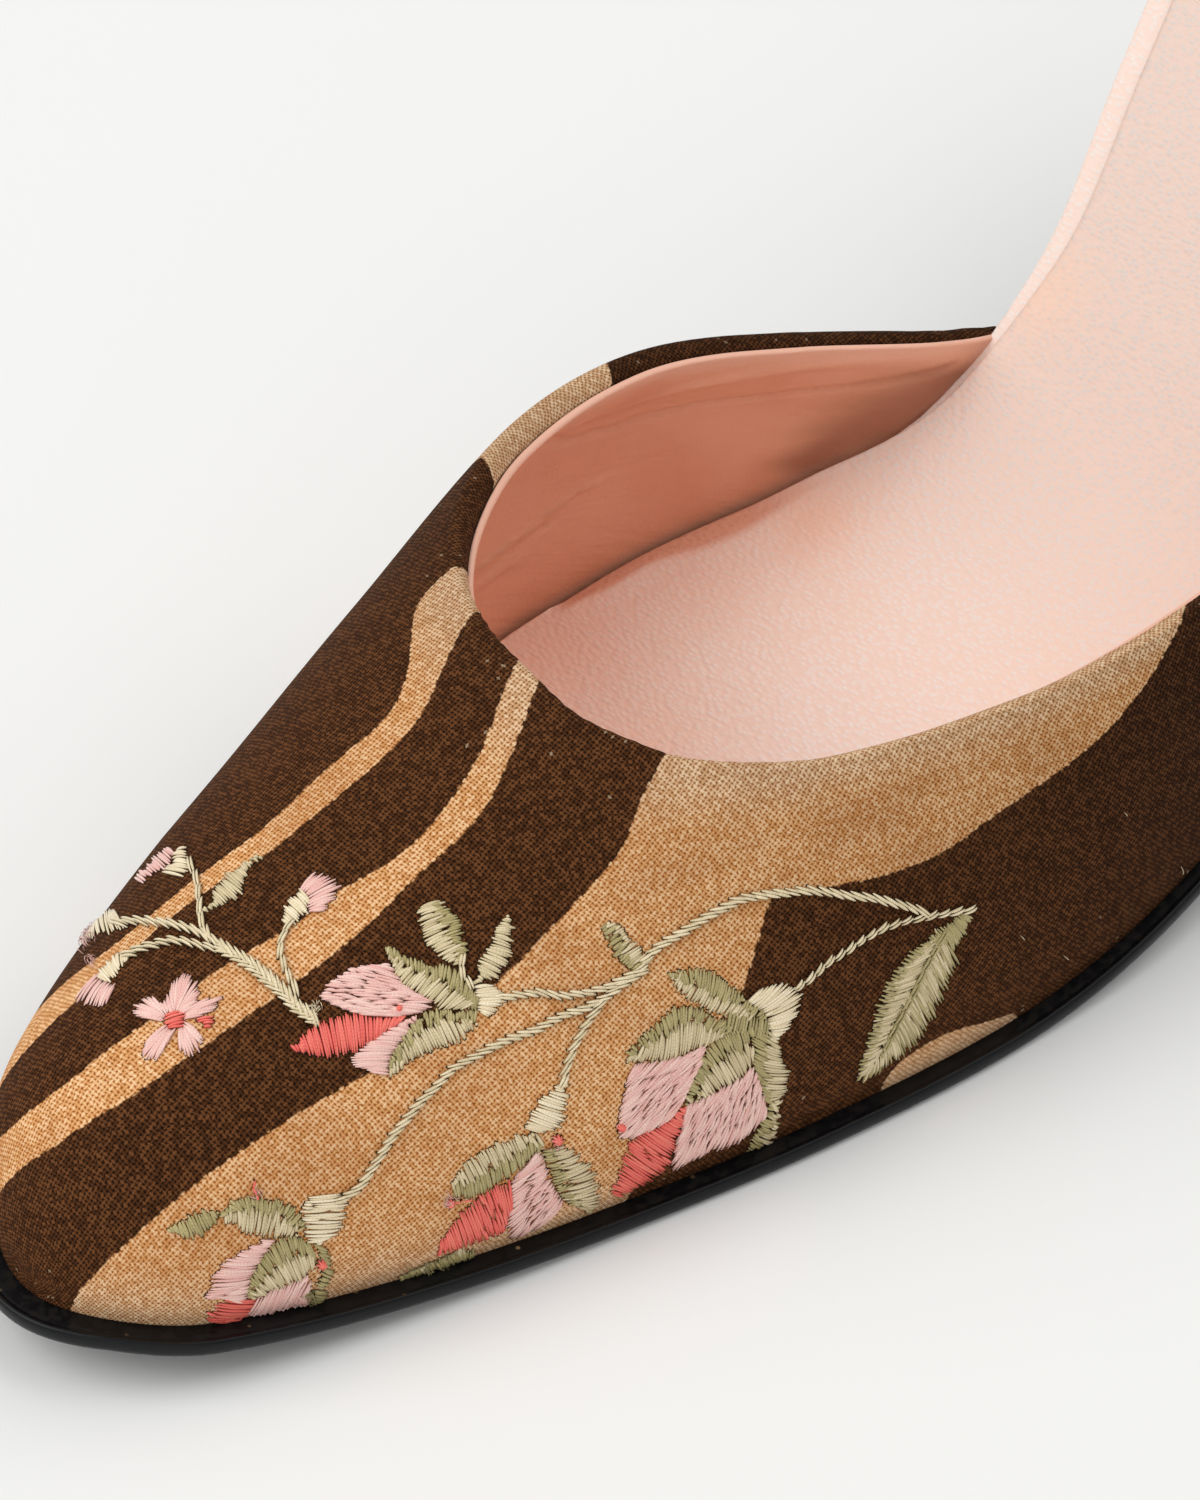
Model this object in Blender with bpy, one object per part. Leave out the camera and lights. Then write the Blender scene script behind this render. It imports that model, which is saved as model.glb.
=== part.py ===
"""High-heeled mule, left foot: outsole, upper, insole, sock, heel and top piece.

The sizes below are millimetres. The toe points along -X, the lateral side is -Y and the floor is Z = 0.
The last (the form that the shoe is made on) is worked out from the section table, and every piece follows it.
"""

import bpy
import bmesh
import numpy as np

MM = 0.001

# Driving sizes of the shoe
LENGTH = 236.0  # of the last in plan, toe tip to heel back
WALL = 2.0  # upper: fabric, interlining and lining together
GAP = 0.3  # between neighbouring pieces
SOLE_THICK = 1.9
INSOLE_THICK = 1.5
INSOLE_CLEAR = 0.4  # between the insole's edge and the wall of the upper
SOCK_THICK = 0.7
FEATHER = SOLE_THICK + GAP  # height of the last's lower edge over the floor at the ball
TOE_SPRING = 4.8
SPRING_END = 58.0  # the sole lies flat on the floor from here to the ball
TOE_ROUND = 9.2  # length over which the toe rounds off, seen from above
TOE_DROP = 16.0  # length over which the ridge comes down to the toe, seen from the side
TOE_DROP_POWER = 2.2
HEEL_ROUND = 27.0
SIDE_BULGE = 2.5  # how far the side walls swell over the feather edge
UPPER_CLEAR = 0.2  # lifts the wall so that the outer corner of its lower edge clears the sole

# Sections of the last. x is measured from the toe tip, the half widths from the centre line, which swings
# towards the medial side behind the ball. The ridge is the top line of the section, lift is the rise of the bottom.
LAST_COLUMNS = ("x", "swing", "lateral", "medial", "ridge_y", "ridge_h", "lift")
LAST = (
    (0, 0.0, 8.2, 8.5, 0.0, 13.8, 0.0),
    (15, 0.0, 15.6, 18.0, 1.0, 20.5, 0.0),
    (30, 0.0, 21.2, 23.6, 2.0, 25.8, 0.0),
    (50, 0.0, 27.4, 28.4, 3.0, 32.9, 0.0),
    (70, 0.0, 33.0, 32.3, 3.8, 40.8, 0.0),
    (90, 0.0, 36.9, 34.7, 4.8, 50.0, 0.0),
    (110, 0.4, 38.8, 31.8, 5.2, 58.4, 2.2),
    (130, 1.4, 38.0, 24.0, 5.0, 65.6, 6.0),
    (145, 2.4, 35.6, 18.0, 5.0, 70.0, 11.8),
    (160, 3.6, 32.8, 16.4, 5.0, 75.0, 22.4),
    (175, 4.8, 30.4, 18.8, 5.0, 80.0, 36.0),
    (190, 5.8, 28.4, 21.2, 5.0, 84.0, 49.4),
    (210, 6.7, 26.5, 24.1, 6.0, 88.0, 64.4),
    (225, 7.1, 25.9, 25.7, 7.0, 90.0, 72.6),
    (236, 7.2, 25.8, 25.8, 7.0, 92.0, 77.0),
)

# Topline: how far back the upper reaches. The girth runs from -1, the lateral feather edge, over the ridge
# at 0, to 1, the medial feather edge.
TOPLINE_COLUMNS = ("girth", "reach")
TOPLINE = (
    (-1.00, 176.0),
    (-0.88, 160.0),
    (-0.75, 136.0),
    (-0.60, 101.0),
    (-0.45, 77.5),
    (-0.30, 68.0),
    (-0.15, 65.0),
    (0.00, 65.8),
    (0.15, 68.6),
    (0.30, 75.0),
    (0.45, 86.5),
    (0.60, 104.0),
    (0.75, 124.0),
    (0.88, 141.0),
    (1.00, 154.0),
)

# Outsole: how far its edge stands outside the last, so that a ledge shows round the forepart
EDGE_COLUMNS = ("x", "lateral", "medial")
EDGE = (
    (0, 4.0, 4.0),
    (40, 3.6, 3.6),
    (90, 3.4, 3.4),
    (120, 3.0, 3.0),
    (145, 2.4, 2.2),
    (160, 2.2, 0.4),
    (176, 1.8, -1.0),
    (192, -0.8, -1.0),
)

# Sock: how far its edge stays inside the last, close under the upper and clear of the bare insole edge behind it
SOCK_COLUMNS = ("x", "inset")
SOCK_INSET = ((0, 0.7), (110, 0.7), (150, 1.6), (165, 2.4), (236, 2.6))

# Edge profiles, as (inset from the outline, drop below the top face)
SOLE_PROFILE = ((0.35, 0.0), (0.0, 0.3), (0.0, 0.8), (0.4, 1.45), (1.5, SOLE_THICK))
INSOLE_PROFILE = ((0.35, 0.0), (0.0, 0.4), (0.0, INSOLE_THICK))
SOCK_PROFILE = ((0.3, 0.0), (0.0, 0.35), (0.0, SOCK_THICK))

# Heel
BREAST = 192.0  # front of the heel under the insole
HEEL_INSET = 0.7
HEEL_FLARE = 2.3  # power of the narrowing from the seat to the tip
TIP_X = 225.0
TIP_HALF_LENGTH = 7.0
TIP_HALF_WIDTH = 7.4
TIP_POWER = 2.6
TOP_PIECE_THICK = 5.0
BREAST_ANGLE = 140.0  # degrees round the tip from its back to the corners of the breast

# Mesh density
UPPER_ROWS, UPPER_COLUMNS = 48, 28
PLATE_ROWS, PLATE_COLUMNS = 52, 5
HEEL_RINGS, HEEL_BACK, HEEL_FRONT = 12, 20, 6

COLOURS = {  # colour, roughness
    "outsole": ((0.012, 0.013, 0.015), 0.35),
    "upper": ((0.16, 0.075, 0.03), 0.85),
    "insole": ((0.70, 0.45, 0.37), 0.5),
    "sock": ((0.78, 0.58, 0.51), 0.5),
    "heel": ((0.055, 0.025, 0.012), 0.85),
    "top_piece": ((0.012, 0.012, 0.012), 0.6),
}


def smooth(xs, ys):
    """A curve through the points that never overshoots them (monotone cubic)."""
    xs, ys = np.array(xs, float), np.array(ys, float)
    step = np.diff(xs)
    slope = np.diff(ys) / step
    tangent = np.concatenate([slope[:1], np.zeros(len(xs) - 2), slope[-1:]])
    for i in range(1, len(xs) - 1):
        before, after = slope[i - 1], slope[i]
        if before * after > 0:
            near, far = 2 * step[i] + step[i - 1], step[i] + 2 * step[i - 1]
            tangent[i] = (near + far) / (near / before + far / after)

    def curve(x):
        x = np.asarray(x, float)
        i = np.clip(np.searchsorted(xs, x, side="right") - 1, 0, len(step) - 1)
        t = np.clip((x - xs[i]) / step[i], 0, 1)
        rise = ys[i + 1] - ys[i]
        bend = t * (1 - t) * step[i]
        return ys[i] + rise * t * t * (3 - 2 * t) + bend * ((1 - t) * tangent[i] - t * tangent[i + 1])

    return curve


def columns(names, rows):
    """Each column of a table as a curve over its first column."""
    values = np.array(rows, float).T
    return {name: smooth(values[0], column) for name, column in zip(names[1:], values[1:])}


last = columns(LAST_COLUMNS, LAST)
topline = columns(TOPLINE_COLUMNS, TOPLINE)["reach"]
sole_edge = columns(EDGE_COLUMNS, EDGE)
sock_edge = columns(SOCK_COLUMNS, SOCK_INSET)["inset"]


def rounding(x, length, power=2.0):
    """0 at an end, rising as a superellipse to 1 at the given distance from it."""
    return (1 - np.clip(1 - x / length, 0, 1) ** power) ** (1 / power)


def feather_z(x):
    spring = np.clip((SPRING_END - x) / SPRING_END, 0, None) ** 2
    return FEATHER + TOE_SPRING * spring + last["lift"](x)


def level(x, height):
    """Height over the floor at a distance from the last's bottom, measured square to it."""
    slope = feather_z(x + 0.5) - feather_z(x - 0.5)  # over 1 mm
    return feather_z(x) + height * np.sqrt(1 + slope * slope)


def edge_y(x, side):
    """The feather edge: side is -1 for lateral and 1 for medial."""
    half = np.where(side < 0, last["lateral"](x), last["medial"](x))
    return last["swing"](x) + side * half * rounding(x, TOE_ROUND) * rounding(LENGTH - x, HEEL_ROUND)


def last_surface(x, girth):
    """Points of the last over the feather edge."""
    side = np.where(girth < 0, -1.0, 1.0)
    up = 1 - np.abs(girth)
    ridge_y = last["ridge_y"](x) * rounding(x, TOE_ROUND)
    ridge_h = last["ridge_h"](x) * rounding(x, TOE_DROP, TOE_DROP_POWER)
    swell = SIDE_BULGE * np.sin(np.pi * up) * (1 - up) * np.clip(x / 40, 0, 1)
    y = ridge_y + (edge_y(x, side) - ridge_y) * np.cos(up * np.pi / 2) + side * swell
    z = feather_z(x) + ridge_h * np.sin(up * np.pi / 2)
    return np.stack([x, y, z], axis=-1)


def outline(reach, side, end=LENGTH):
    """Plan points of one side, from the toe to the given end, set out from the feather edge by reach(x)."""
    turn = np.linspace(0, np.arccos(1 - 2 * end / LENGTH), PLATE_ROWS + 1)
    x = LENGTH / 2 * (1 - np.cos(turn))
    points = np.stack([x, edge_y(x, side)], axis=-1)
    along = np.gradient(points, axis=0)
    along[0] = (0, side)
    if end == LENGTH:
        along[-1] = (0, -side)
    along /= np.linalg.norm(along, axis=1, keepdims=True)
    outward = np.stack([-along[:, 1], along[:, 0]], axis=-1) * side
    points = points + outward * reach(x)[:, None]
    if end < LENGTH:
        points[-1, 0] = end
    return points


def new_object(name, mesh_data, body):
    """Puts a bmesh into the scene as a named object with its own material."""
    bmesh.ops.remove_doubles(mesh_data, verts=mesh_data.verts, dist=1e-6)
    bmesh.ops.dissolve_degenerate(mesh_data, edges=mesh_data.edges, dist=1e-7)
    bmesh.ops.recalc_face_normals(mesh_data, faces=mesh_data.faces)
    mesh = bpy.data.meshes.new(name)
    mesh_data.to_mesh(mesh)
    mesh_data.free()
    obj = bpy.data.objects.new(name, mesh)
    bpy.context.scene.collection.objects.link(obj)
    obj.parent = body
    colour, roughness = COLOURS[name]
    material = bpy.data.materials.new(name)
    material.use_nodes = True
    shader = material.node_tree.nodes["Principled BSDF"]
    shader.inputs["Base Color"].default_value = (*colour, 1)
    shader.inputs["Roughness"].default_value = roughness
    mesh.materials.append(material)
    return obj


def add_verts(mesh_data, points):
    return [mesh_data.verts.new(np.asarray(p) * MM) for p in points]


def strip(mesh_data, first, second, closed=True):
    """Quads between two rows of vertices."""
    count = len(first) if closed else len(first) - 1
    for i in range(count):
        j = (i + 1) % len(first)
        mesh_data.faces.new((first[i], first[j], second[j], second[i]))


def make_plate(name, body, reach, top, profile, end=LENGTH):
    """A sheet that follows the last's bottom, lofted through closed rings from the toe to its end."""
    sides = {
        side: [outline(lambda x, inset=inset: reach(x, side) - inset, side, end) for inset, drop in profile]
        for side in (-1, 1)
    }
    share = np.linspace(0, 1, PLATE_COLUMNS + 1)[:, None]
    mesh_data = bmesh.new()
    rings = []
    for row in range(PLATE_ROWS + 1):
        lateral = [points[row] for points in sides[-1]]
        medial = [points[row] for points in sides[1]]
        plan, drops = [], []
        plan += list(lateral[0] + (medial[0] - lateral[0]) * share)
        drops += [0.0] * len(share)
        plan += medial[1:-1]
        drops += [drop for inset, drop in profile[1:-1]]
        plan += list(medial[-1] + (lateral[-1] - medial[-1]) * share)
        drops += [profile[-1][1]] * len(share)
        plan += lateral[-2:0:-1]
        drops += [drop for inset, drop in profile[-2:0:-1]]
        plan, drops = np.array(plan), np.array(drops)
        along = np.clip(plan[:, 0], 0, LENGTH)
        z = level(along, top - drops)
        rings.append(add_verts(mesh_data, np.column_stack([plan, z])))
    for first, second in zip(rings, rings[1:]):
        strip(mesh_data, first, second)
    if end < LENGTH:
        mesh_data.faces.new(rings[-1])
    return new_object(name, mesh_data, body)


def make_upper(body):
    """The vamp: the last's surface from the toe to the topline, thickened outwards into a wall."""
    girth = np.linspace(-1, 1, UPPER_COLUMNS + 1)
    rows = np.linspace(0, 1, UPPER_ROWS + 1) ** 1.75
    mesh_data = bmesh.new()
    grid = [add_verts(mesh_data, last_surface(topline(girth) * row, girth) + (0, 0, UPPER_CLEAR)) for row in rows]
    for first, second in zip(grid, grid[1:]):
        strip(mesh_data, first, second, closed=False)
    upper = new_object("upper", mesh_data, body)
    if max(upper.data.polygons, key=lambda face: face.center.z).normal.z < 0:
        upper.data.flip_normals()
    wall = upper.modifiers.new("wall", "SOLIDIFY")
    wall.thickness = WALL * MM
    wall.offset = 1.0
    wall.use_even_offset = True
    return upper


def tip_ring(grow=0.0):
    """Plan of the heel tip, starting at the lateral corner of the breast and going round the back."""
    back = np.linspace(-BREAST_ANGLE, BREAST_ANGLE, HEEL_BACK + 1)
    front = np.linspace(BREAST_ANGLE, 360 - BREAST_ANGLE, HEEL_FRONT + 1)[1:-1]
    turn = np.radians(np.concatenate([back, front]))
    power = 2 / TIP_POWER
    x = np.sign(np.cos(turn)) * np.abs(np.cos(turn)) ** power * (TIP_HALF_LENGTH + grow)
    y = np.sign(np.sin(turn)) * np.abs(np.sin(turn)) ** power * (TIP_HALF_WIDTH + grow)
    return np.column_stack([TIP_X + x, last["swing"](TIP_X) + y])


def seat_ring():
    """Plan of the heel seat: round the back of the insole, then straight across the breast."""
    sides = [outline(lambda x: np.full_like(x, -HEEL_INSET), side) for side in (-1, 1)]
    path = np.vstack([sides[0][sides[0][:, 0] >= BREAST], sides[1][sides[1][:, 0] >= BREAST][::-1][1:]])
    corners = [np.array([[BREAST, np.interp(BREAST, side[:, 0], side[:, 1])]]) for side in sides]
    path = np.vstack([corners[0], path, corners[1]])
    run = np.concatenate([[0], np.cumsum(np.linalg.norm(np.diff(path, axis=0), axis=1))])
    places = np.linspace(0, run[-1], HEEL_BACK + 1)
    back = np.column_stack([np.interp(places, run, path[:, k]) for k in (0, 1)])
    share = np.linspace(0, 1, HEEL_FRONT + 1)[1:-1, None]
    return np.vstack([back, back[-1] + (back[0] - back[-1]) * share])


def make_heel(body):
    """A slender covered heel: the seat plan narrows to the tip, and its top lies under the insole."""
    seat, tip = seat_ring(), tip_ring()
    floor = TOP_PIECE_THICK + GAP
    seat_z = level(seat[:, 0], -GAP)
    mesh_data = bmesh.new()
    rings = []
    for down in np.linspace(0, 1, HEEL_RINGS + 1) ** 1.3:
        plan = tip + (seat - tip) * (1 - down) ** HEEL_FLARE
        z = seat_z + (floor - seat_z) * down
        rings.append(add_verts(mesh_data, np.column_stack([plan, z])))
    for first, second in zip(rings, rings[1:]):
        strip(mesh_data, first, second)
    mesh_data.faces.new(rings[-1])
    middle = seat.mean(axis=0)
    outer = rings[0]
    for share in (0.66, 0.33):
        plan = middle + (seat - middle) * share
        inner = add_verts(mesh_data, np.column_stack([plan, level(plan[:, 0], -GAP)]))
        strip(mesh_data, inner, outer)
        outer = inner
    centre = add_verts(mesh_data, [(*middle, float(level(middle[0], -GAP)))])[0]
    for i in range(len(outer)):
        mesh_data.faces.new((outer[i], outer[(i + 1) % len(outer)], centre))
    return new_object("heel", mesh_data, body)


def make_top_piece(body):
    """The wearing piece under the heel tip, flat on the floor."""
    mesh_data = bmesh.new()
    rings = []
    for grow, z in ((-0.4, 0.0), (0.2, 0.6), (0.2, TOP_PIECE_THICK)):
        plan = tip_ring(grow)
        rings.append(add_verts(mesh_data, np.column_stack([plan, np.full(len(plan), z)])))
    for first, second in zip(rings, rings[1:]):
        strip(mesh_data, first, second)
    mesh_data.faces.new(rings[0])
    mesh_data.faces.new(rings[-1])
    return new_object("top_piece", mesh_data, body)


def sole_reach(x, side):
    return sole_edge["lateral" if side < 0 else "medial"](x)


def insole_reach(x, side):
    return np.full_like(x, -INSOLE_CLEAR)


def sock_reach(x, side):
    return -sock_edge(x)


def centre_on_floor(body, pieces):
    """Moves the whole shoe so that the middle of its plan lies over the origin."""
    bpy.context.view_layer.update()
    graph = bpy.context.evaluated_depsgraph_get()
    corners = np.array([corner for piece in pieces for corner in piece.evaluated_get(graph).bound_box])
    middle = (corners.min(axis=0) + corners.max(axis=0)) / 2
    body.location = (-middle[0], -middle[1], -corners.min(axis=0)[2])


def main():
    for obj in list(bpy.data.objects):
        bpy.data.objects.remove(obj)
    body = bpy.data.objects.new("mule", None)
    bpy.context.scene.collection.objects.link(body)
    pieces = [
        make_plate("outsole", body, sole_reach, -GAP, SOLE_PROFILE, end=BREAST - GAP),
        make_upper(body),
        make_plate("insole", body, insole_reach, INSOLE_THICK, INSOLE_PROFILE),
        make_plate("sock", body, sock_reach, INSOLE_THICK + GAP + SOCK_THICK, SOCK_PROFILE),
        make_heel(body),
        make_top_piece(body),
    ]
    centre_on_floor(body, pieces)


main()
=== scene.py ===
import math
import random

import bmesh
import bpy
import numpy as np
from mathutils import Matrix, Vector
from mathutils.bvhtree import BVHTree
from mathutils.interpolate import poly_3d_calc


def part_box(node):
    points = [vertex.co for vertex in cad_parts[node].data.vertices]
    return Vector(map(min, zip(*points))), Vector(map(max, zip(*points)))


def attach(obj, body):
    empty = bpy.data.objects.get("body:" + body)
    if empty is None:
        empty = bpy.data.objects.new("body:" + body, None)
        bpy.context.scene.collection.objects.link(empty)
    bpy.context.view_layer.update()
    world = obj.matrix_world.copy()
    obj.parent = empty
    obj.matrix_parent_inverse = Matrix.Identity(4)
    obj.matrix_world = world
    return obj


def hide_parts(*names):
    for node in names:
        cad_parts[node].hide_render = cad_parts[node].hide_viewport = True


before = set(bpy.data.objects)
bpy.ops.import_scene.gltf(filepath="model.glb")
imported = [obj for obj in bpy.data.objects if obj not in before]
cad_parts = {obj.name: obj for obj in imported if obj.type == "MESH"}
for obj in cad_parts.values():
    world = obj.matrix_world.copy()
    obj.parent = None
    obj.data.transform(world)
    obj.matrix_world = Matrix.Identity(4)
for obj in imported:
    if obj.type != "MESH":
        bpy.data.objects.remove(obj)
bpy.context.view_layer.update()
mm = 0.001
tiny = 1e-9  # keeps a division from failing
farAway = 1e3  # mm

# Photo view, as fitted to the shoe. Places read from the photo are pixels of its 1200 x 1500 frame.
view = {
    "azimuth": -44.975,
    "elevation": 42.712,
    "roll": -0.642,
    "target": (-33.53, 9.63, 15.0),  # mm
    "distance": 700.0,  # mm
    "depths": (600.0, 800.0),  # mm, nearest and farthest that the shoe is from the camera
    "depthSteps": 41,
    "focal": 7084.0,  # pixels
    "middle": (600.0, 750.0),  # pixels
    "height": 1500.0,  # pixels
    "sensor": 36.0,
}

# The last, repeated from the CAD: mm from the toe tip, lateral side at -y
lastLength = 236.0
wall = 2.0
gap = 0.3
soleThick = 1.9
insoleThick = 1.5
sockThick = 0.7
insoleClear = 0.4
toeSpring = 4.8
springEnd = 58.0
toeRound = 9.2
toeDrop = 16.0
toeDropPower = 2.2
heelRound = 27.0
sideBulge = 2.5
bulgeOver = 40.0
upperClear = 0.2
lastColumns = ("x", "swing", "lateral", "medial", "ridgeY", "ridgeH", "lift")
lastRows = (
    (0, 0.0, 8.2, 8.5, 0.0, 13.8, 0.0),
    (15, 0.0, 15.6, 18.0, 1.0, 20.5, 0.0),
    (30, 0.0, 21.2, 23.6, 2.0, 25.8, 0.0),
    (50, 0.0, 27.4, 28.4, 3.0, 32.9, 0.0),
    (70, 0.0, 33.0, 32.3, 3.8, 40.8, 0.0),
    (90, 0.0, 36.9, 34.7, 4.8, 50.0, 0.0),
    (110, 0.4, 38.8, 31.8, 5.2, 58.4, 2.2),
    (130, 1.4, 38.0, 24.0, 5.0, 65.6, 6.0),
    (145, 2.4, 35.6, 18.0, 5.0, 70.0, 11.8),
    (160, 3.6, 32.8, 16.4, 5.0, 75.0, 22.4),
    (175, 4.8, 30.4, 18.8, 5.0, 80.0, 36.0),
    (190, 5.8, 28.4, 21.2, 5.0, 84.0, 49.4),
    (210, 6.7, 26.5, 24.1, 6.0, 88.0, 64.4),
    (225, 7.1, 25.9, 25.7, 7.0, 90.0, 72.6),
    (236, 7.2, 25.8, 25.8, 7.0, 92.0, 77.0),
)
toplineColumns = ("girth", "reach")  # girth -1 is the lateral feather edge, 0 the ridge, 1 the medial edge
toplineRows = (
    (-1.00, 176.0),
    (-0.88, 160.0),
    (-0.75, 136.0),
    (-0.60, 101.0),
    (-0.45, 77.5),
    (-0.30, 68.0),
    (-0.15, 65.0),
    (0.00, 65.8),
    (0.15, 68.6),
    (0.30, 75.0),
    (0.45, 86.5),
    (0.60, 104.0),
    (0.75, 124.0),
    (0.88, 141.0),
    (1.00, 154.0),
)
soleColumns = ("x", "lateral", "medial")  # how far the sole's edge stands outside the last
soleRows = (
    (0, 4.0, 4.0),
    (40, 3.6, 3.6),
    (90, 3.4, 3.4),
    (120, 3.0, 3.0),
    (145, 2.4, 2.2),
    (160, 2.2, 0.4),
    (176, 1.8, -1.0),
    (192, -0.8, -1.0),
)
soleTuck = ((120, 0.0), (145, 1.2), (165, 1.0), (192, 0.0))  # how far the medial edge is worn back there
sockColumns = ("x", "inset")
sockRows = ((0, 0.7), (110, 0.7), (150, 1.6), (165, 2.4), (236, 2.6))


# Shape of the last
def smoothCurve(xs, ys):  # monotone cubic, so it never overshoots
    xs, ys = np.array(xs, float), np.array(ys, float)
    step = np.diff(xs)
    slope = np.diff(ys) / step
    tangent = np.concatenate([slope[:1], np.zeros(len(xs) - 2), slope[-1:]])
    for i in range(1, len(xs) - 1):
        before, after = slope[i - 1], slope[i]
        if before * after > 0:
            near, far = 2 * step[i] + step[i - 1], step[i] + 2 * step[i - 1]
            tangent[i] = (near + far) / (near / before + far / after)

    def curve(x):
        x = np.asarray(x, float)
        i = np.clip(np.searchsorted(xs, x, side="right") - 1, 0, len(step) - 1)
        t = np.clip((x - xs[i]) / step[i], 0, 1)
        bend = t * (1 - t) * step[i]
        rise = (ys[i + 1] - ys[i]) * t * t * (3 - 2 * t)
        return ys[i] + rise + bend * ((1 - t) * tangent[i] - t * tangent[i + 1])

    return curve


def curvesOf(names, rows):
    values = np.array(rows, float).T
    return {name: smoothCurve(values[0], column) for name, column in zip(names[1:], values[1:])}


last = curvesOf(lastColumns, lastRows)
topline = curvesOf(toplineColumns, toplineRows)["reach"]
soleEdge = curvesOf(soleColumns, soleRows)
sockInset = curvesOf(sockColumns, sockRows)["inset"]


def rounding(x, length, power=2.0):
    return (1 - np.clip(1 - x / length, 0, 1) ** power) ** (1 / power)


def featherZ(x):
    return soleThick + gap + toeSpring * np.clip((springEnd - x) / springEnd, 0, None) ** 2 + last["lift"](x)


def levelZ(x, height):  # height is square to the last's bottom
    slope = featherZ(x + 0.5) - featherZ(x - 0.5)
    return featherZ(x) + height * np.sqrt(1 + slope * slope)


def featherY(x, side):
    half = np.where(side < 0, last["lateral"](x), last["medial"](x))
    return last["swing"](x) + side * half * rounding(x, toeRound) * rounding(lastLength - x, heelRound)


def lastSurface(x, girth):
    side = np.where(girth < 0, -1.0, 1.0)
    up = 1 - np.abs(girth)
    ridgeY = last["ridgeY"](x) * rounding(x, toeRound)
    ridgeH = last["ridgeH"](x) * rounding(x, toeDrop, toeDropPower)
    swell = sideBulge * np.sin(np.pi * up) * (1 - up) * np.clip(x / bulgeOver, 0, 1)
    y = ridgeY + (featherY(x, side) - ridgeY) * np.cos(up * np.pi / 2) + side * swell
    z = featherZ(x) + ridgeH * np.sin(up * np.pi / 2) + upperClear
    return np.stack([x, y, z], axis=-1)


def outline(reach, side, rows, end=lastLength):  # plan of one side, set out from the feather edge
    turn = np.linspace(0, np.arccos(1 - 2 * end / lastLength), rows + 1)
    x = lastLength / 2 * (1 - np.cos(turn))
    points = np.stack([x, featherY(x, side)], axis=-1)
    along = np.gradient(points, axis=0)
    along[0] = (0, side)
    if end == lastLength:
        along[-1] = (0, -side)
    along /= np.linalg.norm(along, axis=1, keepdims=True)
    outward = np.stack([-along[:, 1], along[:, 0]], axis=-1) * side
    points = points + outward * reach(x)[:, None]
    if end < lastLength:
        points[-1, 0] = end
    return points


# The CAD centres the shoe over the origin: the sole's edge says by how much
def soleReach(x, side):
    return soleEdge["lateral" if side < 0 else "medial"](x)


soleLow = Vector(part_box("outsole")[0]) / mm
soleSide = outline(lambda x: soleReach(x, -1), -1, rows=400, end=190.0)
shift = np.array([soleLow.x - soleSide[:, 0].min(), soleLow.y - soleSide[:, 1].min(), 0.0])


def toFrame(points):
    return (np.asarray(points, float) + shift) * mm


print("last ready, shifted by", shift.round(2).tolist(), "mm")


# Camera and the rays through its pixels
def viewAxes():
    a, e, r = (math.radians(view[key]) for key in ("azimuth", "elevation", "roll"))
    back = Vector((math.sin(a) * math.cos(e), -math.cos(a) * math.cos(e), math.sin(e)))
    right = Vector((math.cos(a), math.sin(a), 0))
    up = back.cross(right)
    return right * math.cos(r) + up * math.sin(r), up * math.cos(r) - right * math.sin(r), back


viewRight, viewUp, viewBack = viewAxes()
eye = (Vector(view["target"]) + viewBack * view["distance"]) * mm


def addCamera():
    camera = bpy.data.objects.new("photoCamera", bpy.data.cameras.new("photoCamera"))
    camera.data.sensor_fit = "VERTICAL"
    camera.data.sensor_height = view["sensor"]
    camera.data.lens = view["sensor"] * view["focal"] / view["height"]
    camera.data.clip_start = 0.01
    turned = Matrix((viewRight, viewUp, viewBack)).transposed().to_4x4()
    camera.matrix_world = Matrix.Translation(eye) @ turned
    bpy.context.scene.collection.objects.link(camera)
    bpy.context.scene.camera = camera


def pixelRay(px, py):
    across, down = px - view["middle"][0], py - view["middle"][1]
    return (viewRight * across - viewUp * down - viewBack * view["focal"]).normalized()


addCamera()


# Mesh helpers
def gridShape(rows, columns):  # a bmesh grid, with each vert's row and column
    shape = bmesh.new()
    bmesh.ops.create_grid(shape, x_segments=columns, y_segments=rows, size=0.5)
    places = np.array([vert.co for vert in shape.verts])
    row = np.rint((places[:, 1] + 0.5) * rows).astype(int)
    column = np.rint((places[:, 0] + 0.5) * columns).astype(int)
    return shape, row, column


def putVerts(shape, points):
    for vert, point in zip(shape.verts, points):
        vert.co = point


def fieldShape(points):  # the same of a field of points, in mm from the toe
    shape, row, column = gridShape(points.shape[0] - 1, points.shape[1] - 1)
    putVerts(shape, toFrame(points)[row, column])
    return shape, row, column


def addPiece(name, shape, material, replaced=None, attributes=None):
    mesh = bpy.data.meshes.new(name)
    shape.to_mesh(mesh)
    shape.free()
    for key, values in (attributes or {}).items():
        kind = "FLOAT_VECTOR" if values.ndim == 2 else "FLOAT"
        made = mesh.attributes.new(key, kind, "POINT")
        made.data.foreach_set("vector" if values.ndim == 2 else "value", values.astype(np.float32).ravel())
    mesh.shade_smooth()
    mesh.materials.append(material)
    piece = bpy.data.objects.new(name, mesh)
    bpy.context.scene.collection.objects.link(piece)
    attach(piece, "root")
    if replaced:
        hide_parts(replaced)
    print(name, len(mesh.polygons), "faces")
    return piece


def unit(vectors):
    return vectors / np.maximum(np.linalg.norm(vectors, axis=-1, keepdims=True), tiny)


def runAlong(points, axis=0):  # mm from the start, along an axis of a field of points
    steps = np.linalg.norm(np.diff(points, axis=axis), axis=-1)
    return np.insert(np.cumsum(steps, axis=axis), 0, 0.0, axis=axis)


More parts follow.
